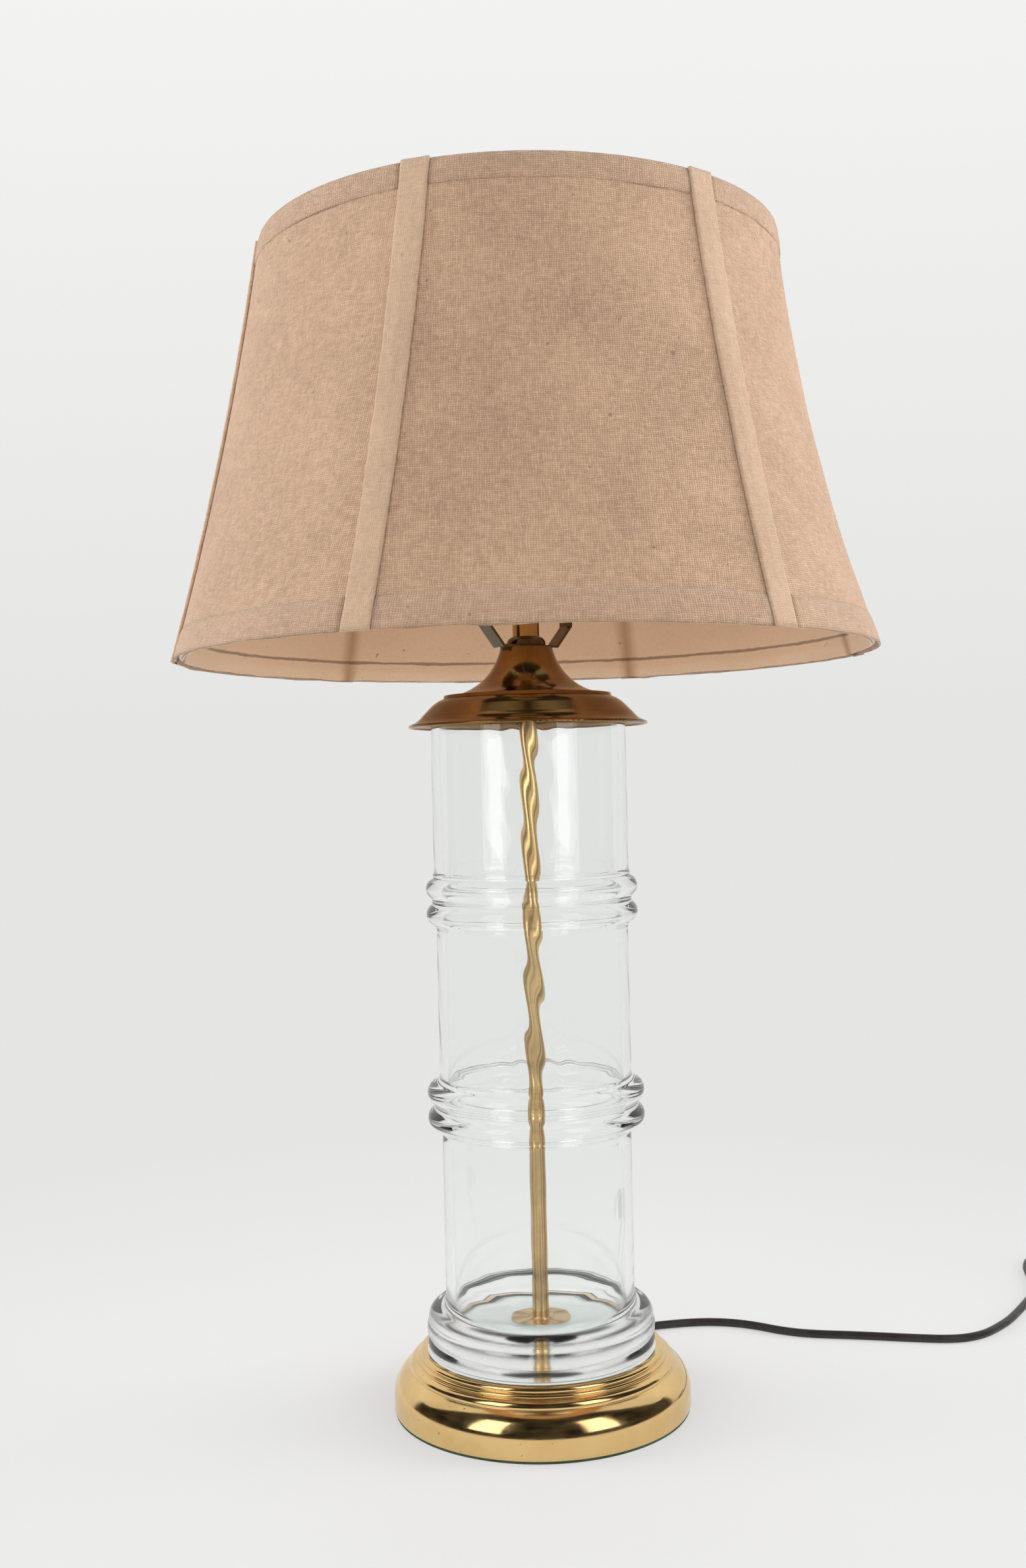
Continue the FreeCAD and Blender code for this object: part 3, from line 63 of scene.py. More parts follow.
CORD_DIAMETER = 0.0052
CORD_EXIT = (0.0378, 0.0811, 0.0075)
CORD_ROUTE = [
    (0.0442, 0.0948, 0.0059),
    (0.0545, 0.1080, 0.0038),
    (0.0695, 0.1176, 0.0028),
    (0.0905, 0.1236, 0.0026),
    (0.1110, 0.1260, 0.0026),
    (0.1290, 0.1230, 0.0026),
    (0.1440, 0.1162, 0.0026),
    (0.1585, 0.1056, 0.0026),
    (0.1760, 0.0980, 0.0026),
    (0.2060, 0.0936, 0.0026),
    (0.2400, 0.0862, 0.0026),
    (0.2680, 0.0818, 0.0026),
    (0.2870, 0.0890, 0.0026),
    (0.3010, 0.1025, 0.0026),
    (0.3135, 0.1170, 0.0026),
    (0.3260, 0.1360, 0.0026),
    (0.3376, 0.1546, 0.0026),
    (0.3475, 0.1725, 0.0026),
    (0.3538, 0.1910, 0.0026),
    (0.3562, 0.2098, 0.0026),
    (0.3598, 0.2280, 0.0026),
    (0.3663, 0.2440, 0.0026),
    (0.3760, 0.2565, 0.0026),
]
COIL_CENTRE = (0.4140, 0.2330)
COIL_RADIUS = 0.0274
COIL_TURNS = 7 + 1 / 3
COIL_START = math.radians(120)
COIL_PITCH = 0.0057
COIL_STEPS = 14
TAIL_STEPS = [(0.016, 0.0), (0.033, 0.002), (0.049, 0.0065), (0.062, 0.012)]


def coil_point(turn, swell=1.0):
    """A point of the coil, which winds inwards on the table and out again on top of itself."""
    half = COIL_TURNS / 2
    spread = COIL_PITCH * half / 2
    radius = (COIL_RADIUS + spread * (2 * abs(turn - half) / half - 1)) * swell
    ease = min(max((turn - half + 0.25) / 0.5, 0.0), 1.0)
    climb = ease * ease * (3 - 2 * ease)
    angle = COIL_START - 2 * math.pi * turn
    return Vector(
        (
            COIL_CENTRE[0] + radius * math.cos(angle),
            COIL_CENTRE[1] + radius * math.sin(angle),
            CORD_DIAMETER / 2 + COIL_PITCH * climb,
        )
    )


def nurbs_tube(name, points, diameter, order=3):
    """A round tube along one smooth open line that the points steer."""
    curve = bpy.data.curves.new(name, "CURVE")
    curve.dimensions = "3D"
    curve.bevel_depth = 1.0
    curve.bevel_resolution = 5
    curve.resolution_u = 6
    curve.use_fill_caps = True
    spline = curve.splines.new("NURBS")
    spline.points.add(len(points) - 1)
    for point, place in zip(spline.points, points):
        point.co = (*place, 1.0)
        point.radius = diameter / 2
    spline.order_u = order
    spline.use_endpoint_u = True
    tube = bpy.data.objects.new(name, curve)
    bpy.context.scene.collection.objects.link(tube)
    return tube


def cord_points():
    swell = 1 / math.cos(math.pi / COIL_STEPS)
    count = round(COIL_TURNS * COIL_STEPS)
    coil = [coil_point(COIL_TURNS * step / count, swell) for step in range(count + 1)]
    end = coil_point(COIL_TURNS)
    heading = end - coil_point(COIL_TURNS - 0.001)
    heading.z = 0
    heading.normalize()
    sideways = Vector((heading.y, -heading.x, 0))
    start = end + heading * CORD_DIAMETER
    tail = [start] + [start + heading * ahead + sideways * aside for ahead, aside in TAIL_STEPS]
    return [Vector(CORD_EXIT)] + [Vector(place) for place in CORD_ROUTE] + coil + tail


cord = nurbs_tube("lamp_cord", cord_points(), CORD_DIAMETER)
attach(cord, "stand")
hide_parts("power_cord", "cord_coil", "cord_tail")

EXIT_WAY = Vector((0.4226, 0.9063, 0))
EXIT_RISE = Vector((0, 0, CORD_EXIT[2]))
LEAD_REACHES = (0.0895, 0.0600, 0.0300, 0.0115)
LEAD_HEIGHTS = (0.0110, 0.0200, 0.1500, 0.3200, 0.4885)
lead = nurbs_tube(
    "inside_lead",
    [EXIT_WAY * reach + EXIT_RISE for reach in LEAD_REACHES]
    + [EXIT_WAY * 0.0030 + Vector((0, 0, 0.0078))]
    + [Vector((0, 0, height)) for height in LEAD_HEIGHTS],
    CORD_DIAMETER,
)
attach(lead, "stand")
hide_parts("inner_lead")

# ---------------------------------------------------------------- material helpers


class Nodes:
    """Writes a material's node tree, one node a call."""

    def __init__(self, name):
        self.material = bpy.data.materials.new(name)
        self.material.use_nodes = True
        self.tree = self.material.node_tree
        self.tree.nodes.clear()
        self.output = self.tree.nodes.new("ShaderNodeOutputMaterial")

    def add(self, kind, inputs=None, **settings):
        node = self.tree.nodes.new("ShaderNode" + kind)
        for key, value in settings.items():
            setattr(node, key, value)
        for key, value in (inputs or {}).items():
            self.put(node.inputs[key], value)
        return node

    def put(self, socket, value):
        if isinstance(value, bpy.types.NodeSocket):
            self.tree.links.new(value, socket)
        elif hasattr(socket.default_value, "__len__") and len(socket.default_value) == 4:
            socket.default_value = (*value, 1.0) if len(value) == 3 else value
        else:
            socket.default_value = value

    def math(self, operation, first, second=0.0):
        return self.add("Math", {0: first, 1: second}, operation=operation).outputs[0]

    def vector(self, operation, first, second):
        values = {0: first, 3 if operation == "SCALE" else 1: second}
        return self.add("VectorMath", values, operation=operation).outputs[0]

    def place(self):
        return self.add("TexCoord").outputs["Object"]

    def noise(self, vector, scale, detail=2.0, roughness=0.5, distortion=0.0):
        values = {
            "Vector": vector,
            "Scale": scale,
            "Detail": detail,
            "Roughness": roughness,
            "Distortion": distortion,
        }
        return self.add("TexNoise", values).outputs["Fac"]

    def between(self, share, low, high, bottom, top):
        """The share, taken from low..high to bottom..top."""
        values = {0: share, 1: low, 2: high, 3: bottom, 4: top}
        return self.add("MapRange", values).outputs[0]

    def blend(self, share, first, second, mode="MIX"):
        node = self.add("Mix", data_type="RGBA", blend_type=mode)
        self.put(node.inputs[0], share)
        self.put(node.inputs[6], first)
        self.put(node.inputs[7], second)
        return node.outputs[2]

    def bump(self, height, distance, strength=1.0, normal=None):
        values = {"Height": height, "Distance": distance, "Strength": strength}
        if normal is not None:
            values["Normal"] = normal
        return self.add("Bump", values).outputs[0]

    def finish(self, shader):
        self.tree.links.new(shader, self.output.inputs["Surface"])
        return self.material

    def principled(self, inputs):
        return self.add("BsdfPrincipled", inputs).outputs[0]


SPOT_BROWN = (0.10, 0.06, 0.03)


def from_axis(nodes, split):
    """The distance from the lamp's axis, of a place that is split into X, Y and Z."""
    x_squared = nodes.math("POWER", split.outputs[0], 2.0)
    y_squared = nodes.math("POWER", split.outputs[1], 2.0)
    return nodes.math("SQRT", nodes.math("ADD", x_squared, y_squared))


def lathe_marks(nodes, scale):
    """Fine rings round the lamp's axis, as a spun or turned surface has."""
    split = nodes.add("SeparateXYZ", {0: nodes.place()})
    radius = from_axis(nodes, split)
    joined = nodes.add("CombineXYZ", {0: radius, 2: split.outputs[2]}).outputs[0]
    return nodes.noise(joined, scale, 3.0, 0.6)


def metal(name, bright, dull, roughness, tarnish, marks, relief, spots, reflection_streaks=0.0):
    """A plain metal with uneven tarnish, small spots, faint turning marks and painted dark reflection
    streaks.
    """
    nodes = Nodes(name)
    place = nodes.place()
    patches = nodes.noise(place, 28.0, 4.0, 0.6, 0.4)
    share = nodes.between(patches, 0.42, 0.68, 0.0, tarnish)
    colour = nodes.blend(share, bright, dull)
    specks = nodes.noise(place, 420.0, 2.0, 0.5)
    colour = nodes.blend(nodes.between(specks, 0.70, 0.76, 0.0, spots), colour, SPOT_BROWN)
    # Dull vertical streaks round the axis: a painted reflection of the dim room in front.
    if reflection_streaks:
        split = nodes.add("SeparateXYZ", {0: place})
        turn = nodes.math("ARCTAN2", split.outputs[1], split.outputs[0])
        around = nodes.add("CombineXYZ", {0: turn, 2: split.outputs[2]}).outputs[0]
        streak_noise = nodes.noise(around, 3.2, 1.0)
        colour = nodes.blend(nodes.between(streak_noise, 0.48, 0.60, 0.0, reflection_streaks), colour, dull)
    fine = nodes.noise(place, 160.0, 3.0, 0.6)
    rough = nodes.between(fine, 0.3, 0.7, roughness * 0.75, roughness * 1.35)
    wavy = nodes.bump(nodes.noise(place, 55.0, 2.0), relief * 6, 0.5)
    normal = nodes.bump(lathe_marks(nodes, marks), relief, 0.6, wavy)
    shader = nodes.principled(
        {"Base Color": colour, "Metallic": 1.0, "Roughness": rough, "Normal": normal}
    )
    return nodes.finish(shader)


def moulded(name, colour, other, roughness, grain=700.0, relief=0.00004):
    """Moulded rubber, plastic or card with a fine grain and dust in it."""
    nodes = Nodes(name)
    place = nodes.place()
    share = nodes.between(nodes.noise(place, 60.0, 4.0, 0.6), 0.35, 0.7, 0.0, 1.0)
    shade = nodes.blend(share, colour, other)
    dust = nodes.noise(place, 220.0, 2.0)
    rough = nodes.between(dust, 0.3, 0.7, roughness * 0.85, min(roughness * 1.2, 1.0))
    normal = nodes.bump(nodes.noise(place, grain, 3.0, 0.6), relief, 0.7)
    return nodes.finish(nodes.principled({"Base Color": shade, "Roughness": rough, "Normal": normal}))


FOOT_DULL_TO = (0.066, 0.080)


def clear(name, colour, roughness, ior, ripple_scale, relief, foot_roughness=None):
    """Clear stuff that lets lamp light through, with slow ripples in it and a duller foot."""
    nodes = Nodes(name)
    place = nodes.place()
    if foot_roughness is not None:
        height = nodes.add("SeparateXYZ", {0: place}).outputs[2]
        roughness = nodes.between(height, *FOOT_DULL_TO, foot_roughness, roughness)
    ripple = nodes.bump(nodes.noise(place, ripple_scale, 2.0, 0.4), relief, 0.6)
    shader = nodes.principled(
        {
            "Base Color": colour,
            "Roughness": roughness,
            "IOR": ior,
            "Transmission Weight": 1.0,
            "Normal": ripple,
        }
    )
    see_through = nodes.add("BsdfTransparent", {"Color": (0.93, 0.95, 0.94)}).outputs[0]
    shadow = nodes.add("LightPath").outputs["Is Shadow Ray"]
    return nodes.finish(nodes.add("MixShader", {0: shadow, 1: shader, 2: see_through}).outputs[0])


HAIR_COLOUR, SPECK_COLOUR = (0.72, 0.56, 0.42), (0.20, 0.12, 0.075)
SEAM_COLOUR = (0.20, 0.12, 0.07)


def woven(name, light, dark, thread, relief, fuzz, seam=0.0):
    """Coarse plain weave made from the piece's own flat map, in metres. A seam may run at a height."""
    nodes = Nodes(name)
    flat = nodes.add("UVMap", uv_map="flat").outputs[0]
    place = nodes.place()
    drift = nodes.add("TexNoise", {"Vector": flat, "Scale": 160.0, "Detail": 2.0}).outputs["Color"]
    shifted = nodes.vector("SCALE", nodes.vector("SUBTRACT", drift, (0.5, 0.5, 0.5)), thread * 1.7)
    steered = nodes.vector("ADD", flat, shifted)
    split = nodes.add("SeparateXYZ", {0: steered})
    across = nodes.math("DIVIDE", split.outputs[0], thread)
    along = nodes.math("DIVIDE", split.outputs[1], thread * 0.86)
    crowns = []
    thicknesses = []
    for line, other in ((across, along), (along, across)):
        number = nodes.math("FLOOR", line)
        run = nodes.math("MULTIPLY", other, 0.16)
        apart = nodes.math("MULTIPLY", number, 7.31)
        lane = nodes.add("CombineXYZ", {0: apart, 1: run}).outputs[0]
        slub = nodes.noise(lane, 1.0, 2.0, 0.6)
        wave = nodes.math("SINE", nodes.math("MULTIPLY", line, math.pi))
        bend = nodes.math("ABSOLUTE", wave)
        crowns.append(nodes.math("POWER", bend, nodes.between(slub, 0.3, 0.7, 1.3, 0.55)))
        thicknesses.append(slub)
    step_a = nodes.math("SINE", nodes.math("MULTIPLY", across, math.pi))
    step_b = nodes.math("SINE", nodes.math("MULTIPLY", along, math.pi))
    over = nodes.between(nodes.math("MULTIPLY", step_a, step_b), -0.5, 0.5, 0.0, 1.0)
    over_warp = nodes.math("MULTIPLY", crowns[0], nodes.between(over, 0.0, 1.0, 0.45, 1.0))
    over_weft = nodes.math("MULTIPLY", crowns[1], nodes.between(over, 0.0, 1.0, 1.0, 0.45))
    height = nodes.math("MAXIMUM", over_warp, over_weft)
    slubs = nodes.math("ADD", thicknesses[0], thicknesses[1])
    patches = nodes.noise(place, 18.0, 4.0, 0.55)
    # Low parts of the weave are darker: painted shade in the hollows between threads. Slubs and patches
    # add the cloth's own uneven colour.
    tone = nodes.between(height, 0.20, 0.95, 0.12, 0.78)
    tone = nodes.math("ADD", tone, nodes.between(slubs, 0.75, 1.25, -0.20, 0.20))
    tone = nodes.math("ADD", tone, nodes.between(patches, 0.3, 0.7, -0.14, 0.14))
    colour = nodes.blend(nodes.between(tone, 0.0, 1.0, 0.0, 1.0), dark, light)
    hairs = nodes.noise(place, 1900.0, 3.0, 0.7)
    colour = nodes.blend(nodes.between(hairs, 0.58, 0.72, 0.0, fuzz), colour, HAIR_COLOUR)
    specks = nodes.noise(place, 210.0, 1.0, 0.4)
    colour = nodes.blend(nodes.between(specks, 0.775, 0.805, 0.0, 0.6), colour, SPECK_COLOUR)
    if seam:
        gap = nodes.math("ABSOLUTE", nodes.math("SUBTRACT", split.outputs[1], seam))
        wander = nodes.between(nodes.noise(place, 30.0, 2.0), 0.3, 0.7, 0.0, 0.0006)
        gap = nodes.math("SUBTRACT", gap, wander)
        colour = nodes.blend(nodes.between(gap, 0.0002, 0.0009, 0.75, 0.0), colour, SEAM_COLOUR)
    threads = nodes.bump(height, relief, 1.0)
    normal = nodes.bump(hairs, relief * 0.35, 0.6, threads)
    shader = nodes.principled(
        {
            "Base Color": colour,
            "Roughness": nodes.between(hairs, 0.3, 0.7, 0.82, 0.98),
            "Specular IOR Level": 0.2,
            "Sheen Weight": 0.26,
            "Sheen Roughness": 0.5,
            "Normal": normal,
        }
    )
    return nodes.finish(shader)


# ---------------------------------------------------------------- materials

GOLD = metal(
    "polished_brass", (0.84, 0.58, 0.26), (0.68, 0.45, 0.18),
    0.125, 0.5, 700.0, 0.000012, 0.5,
)
PIPE = metal(
    "pipe_brass", (0.68, 0.47, 0.21), (0.28, 0.175, 0.07),
    0.20, 0.5, 1500.0, 0.00001, 0.3, 0.85,
)
ANTIQUE = metal(
    "antique_brass", (0.26, 0.140, 0.044), (0.16, 0.090, 0.032),
    0.15, 0.8, 800.0, 0.00001, 0.5,
)
NECK = metal("neck_brass", (0.50, 0.32, 0.12), (0.28, 0.16, 0.06), 0.18, 0.8, 1100.0, 0.00001, 0.3)
SOCKET = metal(
    "socket_brass", (0.80, 0.60, 0.28), (0.60, 0.42, 0.18),
    0.25, 0.6, 1200.0, 0.00002, 0.2,
)
PALE_BRASS = metal(
    "blade_brass", (0.82, 0.70, 0.42), (0.62, 0.50, 0.28),
    0.28, 0.6, 1500.0, 0.00001, 0.2,
)
DARK_BRONZE = metal(
    "dark_bronze", (0.13, 0.090, 0.045), (0.07, 0.050, 0.03),
    0.17, 0.8, 1000.0, 0.00001, 0.3,
)
ZINC = metal("zinc_steel", (0.62, 0.62, 0.60), (0.42, 0.42, 0.41), 0.35, 0.7, 1300.0, 0.00002, 0.3)
SHELL = metal(
    "bulb_shell_metal", (0.80, 0.80, 0.78), (0.58, 0.57, 0.54),
    0.30, 0.6, 1500.0, 0.00002, 0.2,
)
IRON = moulded("cast_iron", (0.05, 0.05, 0.05), (0.09, 0.085, 0.08), 0.75, 300.0, 0.0002)
FELT = moulded("green_felt", (0.03, 0.06, 0.035), (0.06, 0.10, 0.06), 0.97, 1500.0, 0.0003)
RUBBER = moulded("black_rubber", (0.018, 0.016, 0.015), (0.035, 0.032, 0.03), 0.55)
CORD_SKIN = moulded(
    "cord_skin", (0.014, 0.012, 0.011), (0.030, 0.026, 0.024),
    0.42, 900.0, 0.00003,
)
BAKELITE = moulded(
    "black_moulding", (0.018, 0.015, 0.014), (0.04, 0.033, 0.03),
    0.32, 500.0, 0.00002,
)
SEAT = moulded("pale_seat", (0.80, 0.82, 0.81), (0.70, 0.72, 0.71), 0.50, 700.0, 0.00002)
CARD = moulded("grey_card", (0.30, 0.24, 0.17), (0.38, 0.31, 0.22), 0.9, 900.0, 0.00005)
WIRE = moulded("white_wire", (0.66, 0.61, 0.52), (0.50, 0.44, 0.36), 0.4, 600.0, 0.00004)
FROST = moulded("frosted_bulb", (0.86, 0.86, 0.84), (0.80, 0.80, 0.77), 0.38, 900.0, 0.00002)
GLASS = clear("column_glass", (0.982, 0.992, 0.988), 0.0, 1.40, 26.0, 0.00012, 0.13)
CUSHION = clear("clear_cushion", (0.70, 0.72, 0.72), 0.45, 1.42, 200.0, 0.00005)
BURLAP = woven("burlap", (0.670, 0.440, 0.290), (0.350, 0.212, 0.128), 0.00125, 0.00042, 0.28)
TRIM = woven("burlap_trim", (0.650, 0.450, 0.305), (0.430, 0.290, 0.192), 0.00100, 0.00022, 0.40)
HEM = woven("burlap_hem", (0.610, 0.405, 0.270), (0.350, 0.220, 0.140), 0.00130, 0.00042, 0.35)
LINING = woven(
    "lining_cloth", (0.86, 0.60, 0.40), (0.74, 0.50, 0.32),
    0.00060, 0.00006, 0.15, 0.0128,
)

FINISHES = {
    "base_weight": IRON,
    "base_washer": ZINC,
    "base_nut": ZINC,
    "felt_pad": FELT,
    "cord_grommet": RUBBER,
    "base_cushion": CUSHION,
    "cap_cushion": CUSHION,
    "floor_disc": PIPE,
    "lamp_pipe": PIPE,
    "top_cap": ANTIQUE,
    "harp_saddle": DARK_BRONZE,
    "neck_collar": DARK_BRONZE,
    "neck_tube": NECK,
    "harp": ANTIQUE,
    "harp_stud": ANTIQUE,
    "harp_sleeve_right": ANTIQUE,
    "harp_sleeve_left": ANTIQUE,
    "finial": ANTIQUE,
    "socket_cap": SOCKET,
    "socket_shell": SOCKET,
    "socket_insulator": CARD,
    "socket_core": BAKELITE,
    "terminal_screws": SOCKET,
    "screw_shell": SOCKET,
    "centre_contact": SOCKET,
    "switch_knob": BAKELITE,
    "bulb_contact": SHELL,
    "bulb_insulator": BAKELITE,
    "bulb_base": SHELL,
    "bulb_glass": FROST,
    "shade_top_ring": WIRE,
    "shade_bottom_ring": WIRE,
    "shade_rib_wires": WIRE,
    "shade_spider": WIRE,
    "plug_body": BAKELITE,
    "plug_blades": PALE_BRASS,
}


def paint(piece, material):
    piece.data.materials.clear()
    piece.data.materials.append(material)


for node, finish in FINISHES.items():
    paint(NODES[node], finish)
paint(cord, CORD_SKIN)
paint(lead, CORD_SKIN)

# ---------------------------------------------------------------- mesh helpers


def mesh_piece(name, points, faces, material, flat_map=None):
    """A smooth piece from points and faces. flat_map gives each point its place on the flat cloth."""
    mesh = bpy.data.meshes.new(name)
    mesh.from_pydata(points, [], faces)
    if flat_map is not None:
        layer = mesh.uv_layers.new(name="flat")
        for loop in mesh.loops:
            layer.data[loop.index].uv = flat_map[loop.vertex_index]
    mesh.polygons.foreach_set("use_smooth", [True] * len(mesh.polygons))
    mesh.update()
    piece = bpy.data.objects.new(name, mesh)
    bpy.context.scene.collection.objects.link(piece)
    mesh.materials.append(material)
    return piece


def arc_points(start, via, end, count):
    """Points after start along the arc through via to end, in a plane."""
    ax, ay = start
    bx, by = via
    cx, cy = end
    area = 2 * (ax * (by - cy) + bx * (cy - ay) + cx * (ay - by))
    a2, b2, c2 = ax * ax + ay * ay, bx * bx + by * by, cx * cx + cy * cy
    ox = (a2 * (by - cy) + b2 * (cy - ay) + c2 * (ay - by)) / area
    oy = (a2 * (cx - bx) + b2 * (ax - cx) + c2 * (bx - ax)) / area
    radius = math.hypot(ax - ox, ay - oy)
    first = math.atan2(ay - oy, ax - ox)
    middle = (math.atan2(by - oy, bx - ox) - first) % (2 * math.pi)
    sweep = (math.atan2(cy - oy, cx - ox) - first) % (2 * math.pi)
    if middle > sweep:
        sweep -= 2 * math.pi
    places = []
    for step in range(1, count + 1):
        turn = first + sweep * step / count
        places.append((ox + radius * math.cos(turn), oy + radius * math.sin(turn)))
    return places


def outline(steps, arc_count=10, longest=0.004):
    """Points of an outline whose steps are points, or pairs: an arc through one to the next."""
    places = [steps[0]]
    for step in steps[1:]:
        start = places[-1]
        if isinstance(step[0], tuple):
            places += arc_points(start, step[0], step[1], arc_count)
            continue
        count = max(1, math.ceil(math.dist(start, step) / longest))
        for part in range(1, count + 1):
            share = part / count
            across = start[0] + (step[0] - start[0]) * share
            places.append((across, start[1] + (step[1] - start[1]) * share))
    return places


def turned(name, profile, segments, material, shift=None, sharp=35.0):
    """A closed profile of (radius, height) turned round the axis, with an optional shift a point."""
    count = len(profile)
    points = []
    for segment in range(segments):
        angle = 2 * math.pi * segment / segments
        for index, (radius, height) in enumerate(profile):
            out = radius + (shift(index, angle, height) if shift else 0.0)
            points.append((out * math.cos(angle), out * math.sin(angle), height))
    faces = []
    for segment in range(segments):
        here, there = segment * count, (segment + 1) % segments * count
        for index in range(count):
            after = (index + 1) % count
            faces.append((here + index, there + index, there + after, here + after))
    piece = mesh_piece(name, points, faces, material)
    corners = set()
    for index in range(count):
        before = Vector(profile[index]) - Vector(profile[index - 1])
        after = Vector(profile[(index + 1) % count]) - Vector(profile[index])
        if before.length and after.length and before.angle(after) > math.radians(sharp):
            corners.add(index)
    for edge in piece.data.edges:
        one, other = edge.vertices
        if one % count == other % count and one % count in corners:
            edge.use_edge_sharp = True
    return piece


# ---------------------------------------------------------------- glass column

GLASS_BOTTOM, GLASS_TOP = 0.0360, 0.4090
FLOOR = GLASS_BOTTOM + 0.0140
FOOT, FOOT_TOP = 0.0669, GLASS_BOTTOM + 0.0245
LOW_WALL, MIDDLE_WALL, HIGH_WALL = 0.0558, 0.0566, 0.0576
GLASS_WALL = 0.0054
LOW_RING, HIGH_RING = GLASS_BOTTOM + 0.1422, GLASS_BOTTOM + 0.2620
LOW_CREST, HIGH_CREST = 0.0640, 0.0625
RING_REACH, GROOVE_DEPTH = 0.0084, 0.0036
GLASS_HOLE = 0.0056
SWELL_REACH, SWELL_DEPTH = 0.0190, 0.0019


def glass_ring(middle, below, above, crest):
    """The outline of a double ring with a groove in its middle, between two walls."""
    groove = crest - GROOVE_DEPTH
    low, high = middle - RING_REACH, middle + RING_REACH
    shoulder = crest - GROOVE_DEPTH * 1.2
    return [
        (below, low - 0.0086),
        ((below + 0.0007, low - 0.0068), (below + (shoulder - below) * 0.75, low - 0.0054)),
        ((crest, low + 0.0003), (groove + 0.0007, middle - 0.0020)),
        ((groove, middle), (groove + 0.0007, middle + 0.0020)),
        ((crest, high - 0.0003), (above + (shoulder - above) * 0.75, high + 0.0054)),
        ((above + 0.0007, high + 0.0068), (above, high + 0.0086)),
    ]


outside = [
    (GLASS_HOLE, GLASS_BOTTOM),
    (FOOT - 0.0014, GLASS_BOTTOM),
    ((FOOT, GLASS_BOTTOM + 0.0033), (FOOT - 0.0010, GLASS_BOTTOM + 0.0067)),
    ((FOOT + 0.0004, GLASS_BOTTOM + 0.0113), (FOOT - 0.0008, GLASS_BOTTOM + 0.0160)),
    ((FOOT - 0.0015, FOOT_TOP - 0.0038), (LOW_WALL + 0.0044, FOOT_TOP - 0.0004)),
    ((LOW_WALL + 0.0012, FOOT_TOP + 0.0014), (LOW_WALL, FOOT_TOP + 0.0048)),
]
outside += glass_ring(LOW_RING, LOW_WALL, MIDDLE_WALL, LOW_CREST)
outside += glass_ring(HIGH_RING, MIDDLE_WALL, HIGH_WALL, HIGH_CREST)
outside += [
    (HIGH_WALL, GLASS_TOP - 0.0040),
    ((HIGH_WALL + 0.0002, GLASS_TOP - 0.0012), (HIGH_WALL - 0.0010, GLASS_TOP)),
    (HIGH_WALL - GLASS_WALL + 0.0009, GLASS_TOP),
]


def inner_swell(middle, below, above):
    """The inner wall behind a ring, which swells out with it."""
    return [
        (above, middle + SWELL_REACH),
        (((below + above) / 2 + SWELL_DEPTH, middle), (below, middle - SWELL_REACH)),
    ]


inside = [outside[-1]]
inside += inner_swell(HIGH_RING, MIDDLE_WALL - GLASS_WALL, HIGH_WALL - GLASS_WALL)
inside += inner_swell(LOW_RING, LOW_WALL - GLASS_WALL, MIDDLE_WALL - GLASS_WALL)
INNER_WALL = LOW_WALL - GLASS_WALL
inside += [
    (INNER_WALL, FLOOR + 0.0046),
    ((INNER_WALL - 0.0012, FLOOR + 0.0013), (INNER_WALL - 0.0044, FLOOR)),
    (GLASS_HOLE, FLOOR),
]
outer_profile = outline(outside)
inner_profile = outline(inside)[1:]
glass_profile = outer_profile + inner_profile

SPIRAL_STARTS, SPIRAL_RISE, SPIRAL_DEPTH = 25, 0.036, 0.00017
LOW_RING_STEP, LOW_RING_DEPTH = 0.0092, 0.00022
OUTER_SWAY, INNER_SWAY = 0.00012, 0.00010
PLAIN_END = 0.006


def fade(value, low, high):
    """From 0 at low to 1 at high, smoothly."""
    share = min(max((value - low) / (high - low), 0.0), 1.0)
    return share * share * (3 - 2 * share)


def wall_noise(angle, reach, lift):
    """A slow noise round the glass: a wider reach makes it finer."""
    return noise.noise(Vector((math.cos(angle) * reach, math.sin(angle) * reach, lift)))


def glass_shift(index, angle, height):
    """The uneven wall of moulded glass: a slow sway outside, spiral ripples and low rings inside."""
    if height < FLOOR + PLAIN_END or height > GLASS_TOP - PLAIN_END:
        return 0.0
    slow = wall_noise(angle, 1.3, height * 11)
    if index < len(outer_profile):
        return OUTER_SWAY * slow
    facing = 0.05 + 0.95 * math.sin(angle) ** 16
    middle = fade(height, 0.185, 0.215) * (1 - fade(height, 0.270, 0.300))
    strength = (0.12 + 0.88 * fade(height, 0.165, 0.215)) * (1 + 0.8 * middle) * facing
    sway = wall_noise(angle, 3, height * 30)
    spiral = math.sin(2 * math.pi * height / SPIRAL_RISE + SPIRAL_STARTS * angle + 1.6 * sway)
    patch = 0.75 + 0.5 * wall_noise(angle, 2, height * 25 + 7)
    wobble = 1.4 * wall_noise(angle, 4, 3.0)
    low_rings = math.sin(2 * math.pi * (height - FLOOR) / LOW_RING_STEP + wobble)
    low_share = fade(height, FLOOR + 0.006, FLOOR + 0.010)
    low_share *= 1 - fade(height, FLOOR + 0.030, FLOOR + 0.040)
    ripples = strength * patch * SPIRAL_DEPTH * spiral
    return ripples + LOW_RING_DEPTH * low_share * low_rings + INNER_SWAY * slow


COLUMN_SEGMENTS = 240
column = turned("column_of_glass", glass_profile, COLUMN_SEGMENTS, GLASS, glass_shift)
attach(column, "stand")
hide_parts("glass_column")

# ---------------------------------------------------------------- base

BASE_FOOT, BASE_SEAT = 0.0015, 0.0352
BASE_RADIUS, SHOULDER_RADIUS, SIDE_TOP = 0.0874, 0.0170, 0.0100
SHOULDER_MIDDLE, SHOULDER_END = 29, 58
BASE_WALL, PIPE_HOLE = 0.0012, 0.00485
CORD_HOLE = 0.0052
SEAT_EDGE = 0.0672


